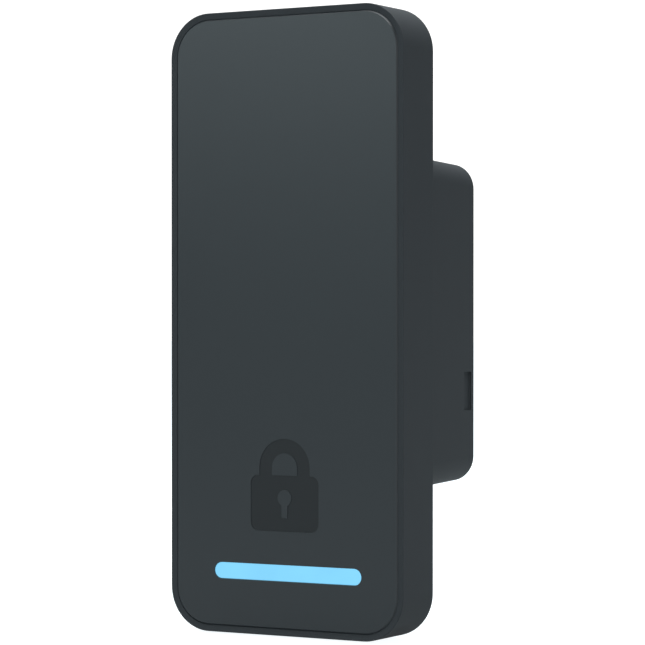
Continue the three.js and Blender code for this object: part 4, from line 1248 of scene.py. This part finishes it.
vent_low, vent_high = corners_of("vent_membrane")
vent_r = (vent_high.x - vent_low.x) / 2
vent = make_piece("felt_vent_disc", spun([
    (0, vent_low.y), (vent_r - 0.08, vent_low.y), (vent_r, vent_low.y + 0.08), (vent_r, vent_high.y - 0.05),
    (vent_r - 0.7, vent_high.y), (vent_r - 0.9, vent_high.y - 0.06), (0, vent_high.y - 0.06)],
    (vent_low.x + vent_high.x) / 2, (vent_low.z + vent_high.z) / 2), membrane_finish)
fit(vent, "reader", "membrane", "vent_membrane")

label_shape = brick(label_low, label_high, 0.8, 0.03)
label_face = face_towards(label_shape, 1)
for inset in (LABEL_EDGE, LABEL_LINE):
    border = bmesh.ops.inset_region(label_shape, faces=[label_face], thickness=inset, use_even_offset=True)
for face in border["faces"]:
    face.material_index = 1
label = make_piece("plain_rating_label", label_shape, label_finish, border_finish)
fit(label, "reader", "label", "rating_label")

# ---------------------------------------------------------------- screws and thread inserts
# Pan-head steel screws hold the boards, black ones go through the flange into brass inserts in the
# frame's bosses, and one tamper-proof screw with a centre pin locks the reader to its bracket from below.
THREAD_PITCH = 0.5
HOUSING_HEAD_H = 1.2
HOUSING_SHANK_R = 1.2
BOARD_HEAD_H = 1.05
BOARD_SHANK_R = 0.85
SECURITY_HEAD_H = 1.2
SECURITY_SHANK_R = 1.45
CROSS_W = 1.9
CROSS_T = 0.45
INSERT_BORE = 1.28
KNURL_TEETH = 60
KNURL_DEPTH = 0.08
black_finish = plain_finish("black_oxide_steel", METAL, metallic=0.85, colour=(0.055, 0.055, 0.058),
                            roughness=0.36, tarnish=0.3)
brass_finish = plain_finish("turned_brass", METAL, metallic=1.0, colour=(0.70, 0.50, 0.22), roughness=0.3,
                            tarnish=0.3, line_depth=0.3)


def screw_shape(head_face, tip, head_r, head_h, shank_r, x, z):
    """A pan-head screw along Y, with its thread cut as close rings."""
    way = 1 if head_face > tip else -1
    length = abs(head_face - tip)
    profile = [(0, 0), (0.68 * head_r, 0), (0.86 * head_r, 0.06), (0.97 * head_r, 0.2), (head_r, 0.4),
               (head_r, head_h - 0.06), (head_r - 0.06, head_h), (0.84 * shank_r, head_h)]
    depth = head_h + 0.3
    while depth < length - 0.9:
        profile += [(0.84 * shank_r, depth), (shank_r, depth + 0.16), (shank_r, depth + 0.22),
                    (0.84 * shank_r, depth + 0.38)]
        depth += THREAD_PITCH
    profile += [(0.8 * shank_r, length - 0.35), (0.4 * shank_r, length), (0, length)]
    return spun([(radius, head_face - way * depth) for radius, depth in profile], x, z, 32)


def star_tool(radius, near, far, x, z):
    """A six-lobed recess, as a solid between two Y planes."""
    shape = bmesh.new()
    bmesh.ops.create_circle(shape, cap_ends=True, radius=radius, segments=48)
    for vert in shape.verts:
        vert.co *= 0.87 + 0.13 * math.cos(6 * math.atan2(vert.co.y, vert.co.x))
    bmesh.ops.rotate(shape, cent=(0, 0, 0), matrix=Matrix.Rotation(math.pi / 2, 3, "X"), verts=shape.verts)
    far_side = bmesh.ops.extrude_face_region(shape, geom=shape.faces[:])["geom"]
    bmesh.ops.translate(shape, vec=(0, far - near, 0), verts=made_verts(far_side))
    bmesh.ops.recalc_face_normals(shape, faces=shape.faces)
    bmesh.ops.translate(shape, vec=(x, near, z), verts=shape.verts)
    return shape


for number, (x, z) in enumerate(boss_places, 1):
    low, high = corners_of(f"housing_screw_{number}")
    head_r = (high.x - low.x) / 2
    cap_screw = make_piece(f"black_housing_screw_{number}", screw_shape(
        high.y, low.y, head_r, HOUSING_HEAD_H, HOUSING_SHANK_R, x, z), black_finish)
    combine(cap_screw, star_tool(1.25, high.y - 0.75, high.y + PAST, x, z))
    fit(cap_screw, "reader", "black_steel", f"housing_screw_{number}")

    low, high = corners_of(f"thread_insert_{number}")
    outer = (high.x - low.x) / 2
    middle = (low.y + high.y) / 2
    knurled = spun([(INSERT_BORE, low.y), (outer - 0.1, low.y), (outer, low.y + 0.15), (outer, middle - 0.4),
                    (outer - 0.25, middle - 0.2), (outer - 0.25, middle + 0.2), (outer, middle + 0.4),
                    (outer, high.y - 0.15), (outer - 0.1, high.y), (INSERT_BORE, high.y),
                    (INSERT_BORE, low.y)], x, z, KNURL_TEETH)
    for vert in knurled.verts:
        radial = Vector((vert.co.x - x, 0, vert.co.z - z))
        tooth = round(math.atan2(radial.z, radial.x) / (2 * math.pi) * KNURL_TEETH) % 2
        if radial.length > outer - 0.02 and tooth:
            vert.co -= radial.normalized() * KNURL_DEPTH
    insert = make_piece(f"knurled_insert_{number}", knurled, brass_finish)
    fit(insert, "reader", "brass", f"thread_insert_{number}")

board_screws = [f"board_screw_{n}" for n in (1, 2, 3, 4)] + [f"power_board_screw_{n}" for n in (1, 2)]
for node in board_screws:
    low, high = corners_of(node)
    x, z = (low.x + high.x) / 2, (low.z + high.z) / 2
    head_face, tip = (low.y, high.y) if node.startswith("power") else (high.y, low.y)
    way = 1 if head_face > tip else -1
    pan_screw = make_piece(f"steel_{node}", screw_shape(
        head_face, tip, (high.x - low.x) / 2, BOARD_HEAD_H, BOARD_SHANK_R, x, z), steel_finish)
    near, far = sorted((head_face - 0.6 * way, head_face + way))
    for width, tall in ((CROSS_W, CROSS_T), (CROSS_T, CROSS_W)):
        combine(pan_screw, rounded_slab(width, tall, near, far, 0.1, x, z, 2))
    fit(pan_screw, "reader", "steel", node)

lock_shape = screw_shape(security_low.z, security_high.z, (security_high.x - security_low.x) / 2,
                         SECURITY_HEAD_H, SECURITY_SHANK_R, 0, 0)
security_screw = make_piece("pin_security_screw", lock_shape, black_finish)
combine(security_screw, star_tool(1.4, security_low.z - PAST, security_low.z + 0.8, 0, 0))
pin_end = security_low.z + 0.15
combine(security_screw, spun([
    (0, pin_end), (0.3, pin_end), (0.4, pin_end + 0.1), (0.4, security_low.z + PAST),
    (0, security_low.z + PAST)], 0, 0, 20), "UNION")
upright = Matrix.Rotation(math.pi / 2, 4, "X")
security_screw.data.transform(Matrix.Translation((0, SECURITY_Y * MM, 0)) @ upright)
fit(security_screw, "reader", "black_steel", "security_screw")

# ---------------------------------------------------------------- tamper plunger, its spring and its switch
# A black moulded cup slides in the flange and stands out of the wall plane. A steel coil spring pushes it
# outwards, and its middle pin lets go of a small switch when the reader is pulled off the wall.
PLUNGER_R = 2.5
COLLAR_R = 3.4
CUP_R = 2.0
CUP_FLOOR = -1.2
COLLAR_BACK = -2.05
SPRING_R = 1.5
SPRING_WIRE_R = 0.175
SPRING_TURNS = 4
TURN_STEPS = 28

button_finish = plain_finish("black_button", MOULDED, specular=0.4, colour=(0.015, 0.016, 0.018),
                             roughness=0.42, grain_size=7000.0, grain_depth=0.1, mottle=0.1, polish=0.1)
plunger = make_piece("tamper_plunger_cup", spun([
    (0, CUP_FLOOR - 1.3), (0.55, CUP_FLOOR - 1.3), (0.7, CUP_FLOOR - 1.15), (0.7, CUP_FLOOR - 0.1),
    (0.8, CUP_FLOOR), (CUP_R - 0.1, CUP_FLOOR), (CUP_R, CUP_FLOOR - 0.1), (CUP_R, tamper_low.y + 0.1),
    (CUP_R + 0.1, tamper_low.y), (COLLAR_R - 0.12, tamper_low.y), (COLLAR_R, tamper_low.y + 0.12),
    (COLLAR_R, COLLAR_BACK - 0.1), (COLLAR_R - 0.1, COLLAR_BACK), (PLUNGER_R, COLLAR_BACK),
    (PLUNGER_R, tamper_high.y - 0.6), (PLUNGER_R - 0.05, tamper_high.y - 0.42),
    (PLUNGER_R - 0.2, tamper_high.y - 0.2), (PLUNGER_R - 0.45, tamper_high.y - 0.05),
    (PLUNGER_R - 0.75, tamper_high.y), (0, tamper_high.y)], 0, TAMPER_Z, 64), button_finish)
fit(plunger, "tamper", "black_plastic", "tamper_plunger")

spring_low, spring_high = corners_of("tamper_spring")
spring_start = spring_low.y + SPRING_WIRE_R
spring_length = spring_high.y - spring_low.y - 2 * SPRING_WIRE_R
coil = bmesh.new()
ring_verts = bmesh.ops.create_circle(coil, radius=SPRING_WIRE_R, segments=12)["verts"]
bmesh.ops.translate(coil, vec=(SPRING_R, 0, 0), verts=ring_verts)
spring_steps = SPRING_TURNS * TURN_STEPS
bmesh.ops.spin(coil, geom=coil.verts[:] + coil.edges[:], cent=(0, 0, 0), axis=(0, 1, 0),
               dvec=(0, spring_length / spring_steps, 0), angle=2 * math.pi * SPRING_TURNS,
               steps=spring_steps)
bmesh.ops.holes_fill(coil, edges=[e for e in coil.edges if e.is_boundary], sides=0)
bmesh.ops.recalc_face_normals(coil, faces=coil.faces)
bmesh.ops.translate(coil, vec=(0, spring_start, TAMPER_Z), verts=coil.verts)
spring = make_piece("tamper_coil_spring", coil, steel_finish)
fit(spring, "reader", "steel", "tamper_spring")
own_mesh(spring)

switch_low, switch_high = corners_of("tamper_switch")
switch_body = switch_high.copy()
switch_body.y = switch_low.y + 0.8
tamper_switch = make_piece("tamper_switch_body", brick(switch_low, switch_body, 0.15, 0.06), chip_finish)
combine(tamper_switch, spun([(0, switch_low.y + 0.5), (0.5, switch_low.y + 0.5), (0.5, switch_high.y - 0.08),
                             (0.42, switch_high.y), (0, switch_high.y)], 0, TAMPER_Z, 24), "UNION")
fit(tamper_switch, "reader", "chip_epoxy", "tamper_switch")

# ---------------------------------------------------------------- reset button and its switch
# A thin black button in the rear face reaches down to a small key switch on the power board. The switch
# has a moulded base, a pressed steel cover and a round stem.
HEAD_START = 15
KEY_STEM_R = 1.6
KEY_BASE_H = 3.2

button_r = (reset_high.x - reset_low.x) / 2
reset_button = make_piece("reset_button_cap", spun([
    (0, reset_low.y), (button_r - 0.4, reset_low.y), (button_r - 0.3, reset_low.y + 0.1),
    (button_r - 0.3, HEAD_START), (button_r, HEAD_START + 0.6), (button_r, reset_high.y - 0.3),
    (button_r - 0.1, reset_high.y - 0.08),
    (button_r - 0.3, reset_high.y), (button_r - 0.55, reset_high.y - 0.03),
    (0.5 * button_r, reset_high.y - 0.16),
    (0, reset_high.y - 0.2)], RESET_X, RESET_Z), button_finish)
fit(reset_button, "reset", "black_plastic", "reset_button")

key_low, key_high = corners_of("reset_switch")
key_base = key_high.copy()
key_base.y = key_low.y + KEY_BASE_H
reset_switch = make_piece("reset_switch_base", brick(key_low, key_base, 0.4, 0.1), chip_finish)
combine(reset_switch, spun([
    (0, key_base.y - 0.3), (KEY_STEM_R, key_base.y - 0.3), (KEY_STEM_R, key_high.y - 0.12),
    (KEY_STEM_R - 0.1, key_high.y), (0, key_high.y)], RESET_X, RESET_Z, 32), "UNION")
fit(reset_switch, "reader", "chip_epoxy", "reset_switch")
cover_shape = brick(Vector((key_low.x + 0.1, key_base.y + 0.02, key_low.z + 0.1)),
                    Vector((key_high.x - 0.1, key_base.y + 0.27, key_high.z - 0.1)), 0.4, 0.06)
switch_cover = make_piece("reset_switch_cover", cover_shape, steel_finish)
combine(switch_cover, rod(KEY_STEM_R + 0.15, key_base.y - PAST, key_base.y + PAST, RESET_X, RESET_Z, 32))
combine(switch_cover, together(*[
    spun([(0, key_base.y + 0.2), (0.3, key_base.y + 0.2), (0.3, key_base.y + 0.33), (0.22, key_base.y + 0.4),
          (0, key_base.y + 0.4)], RESET_X + 2.2 * i, RESET_Z + 2.2 * k, 16)
    for i in (1, -1) for k in (1, -1)]), "UNION")
fit(switch_cover, "reader", "steel")
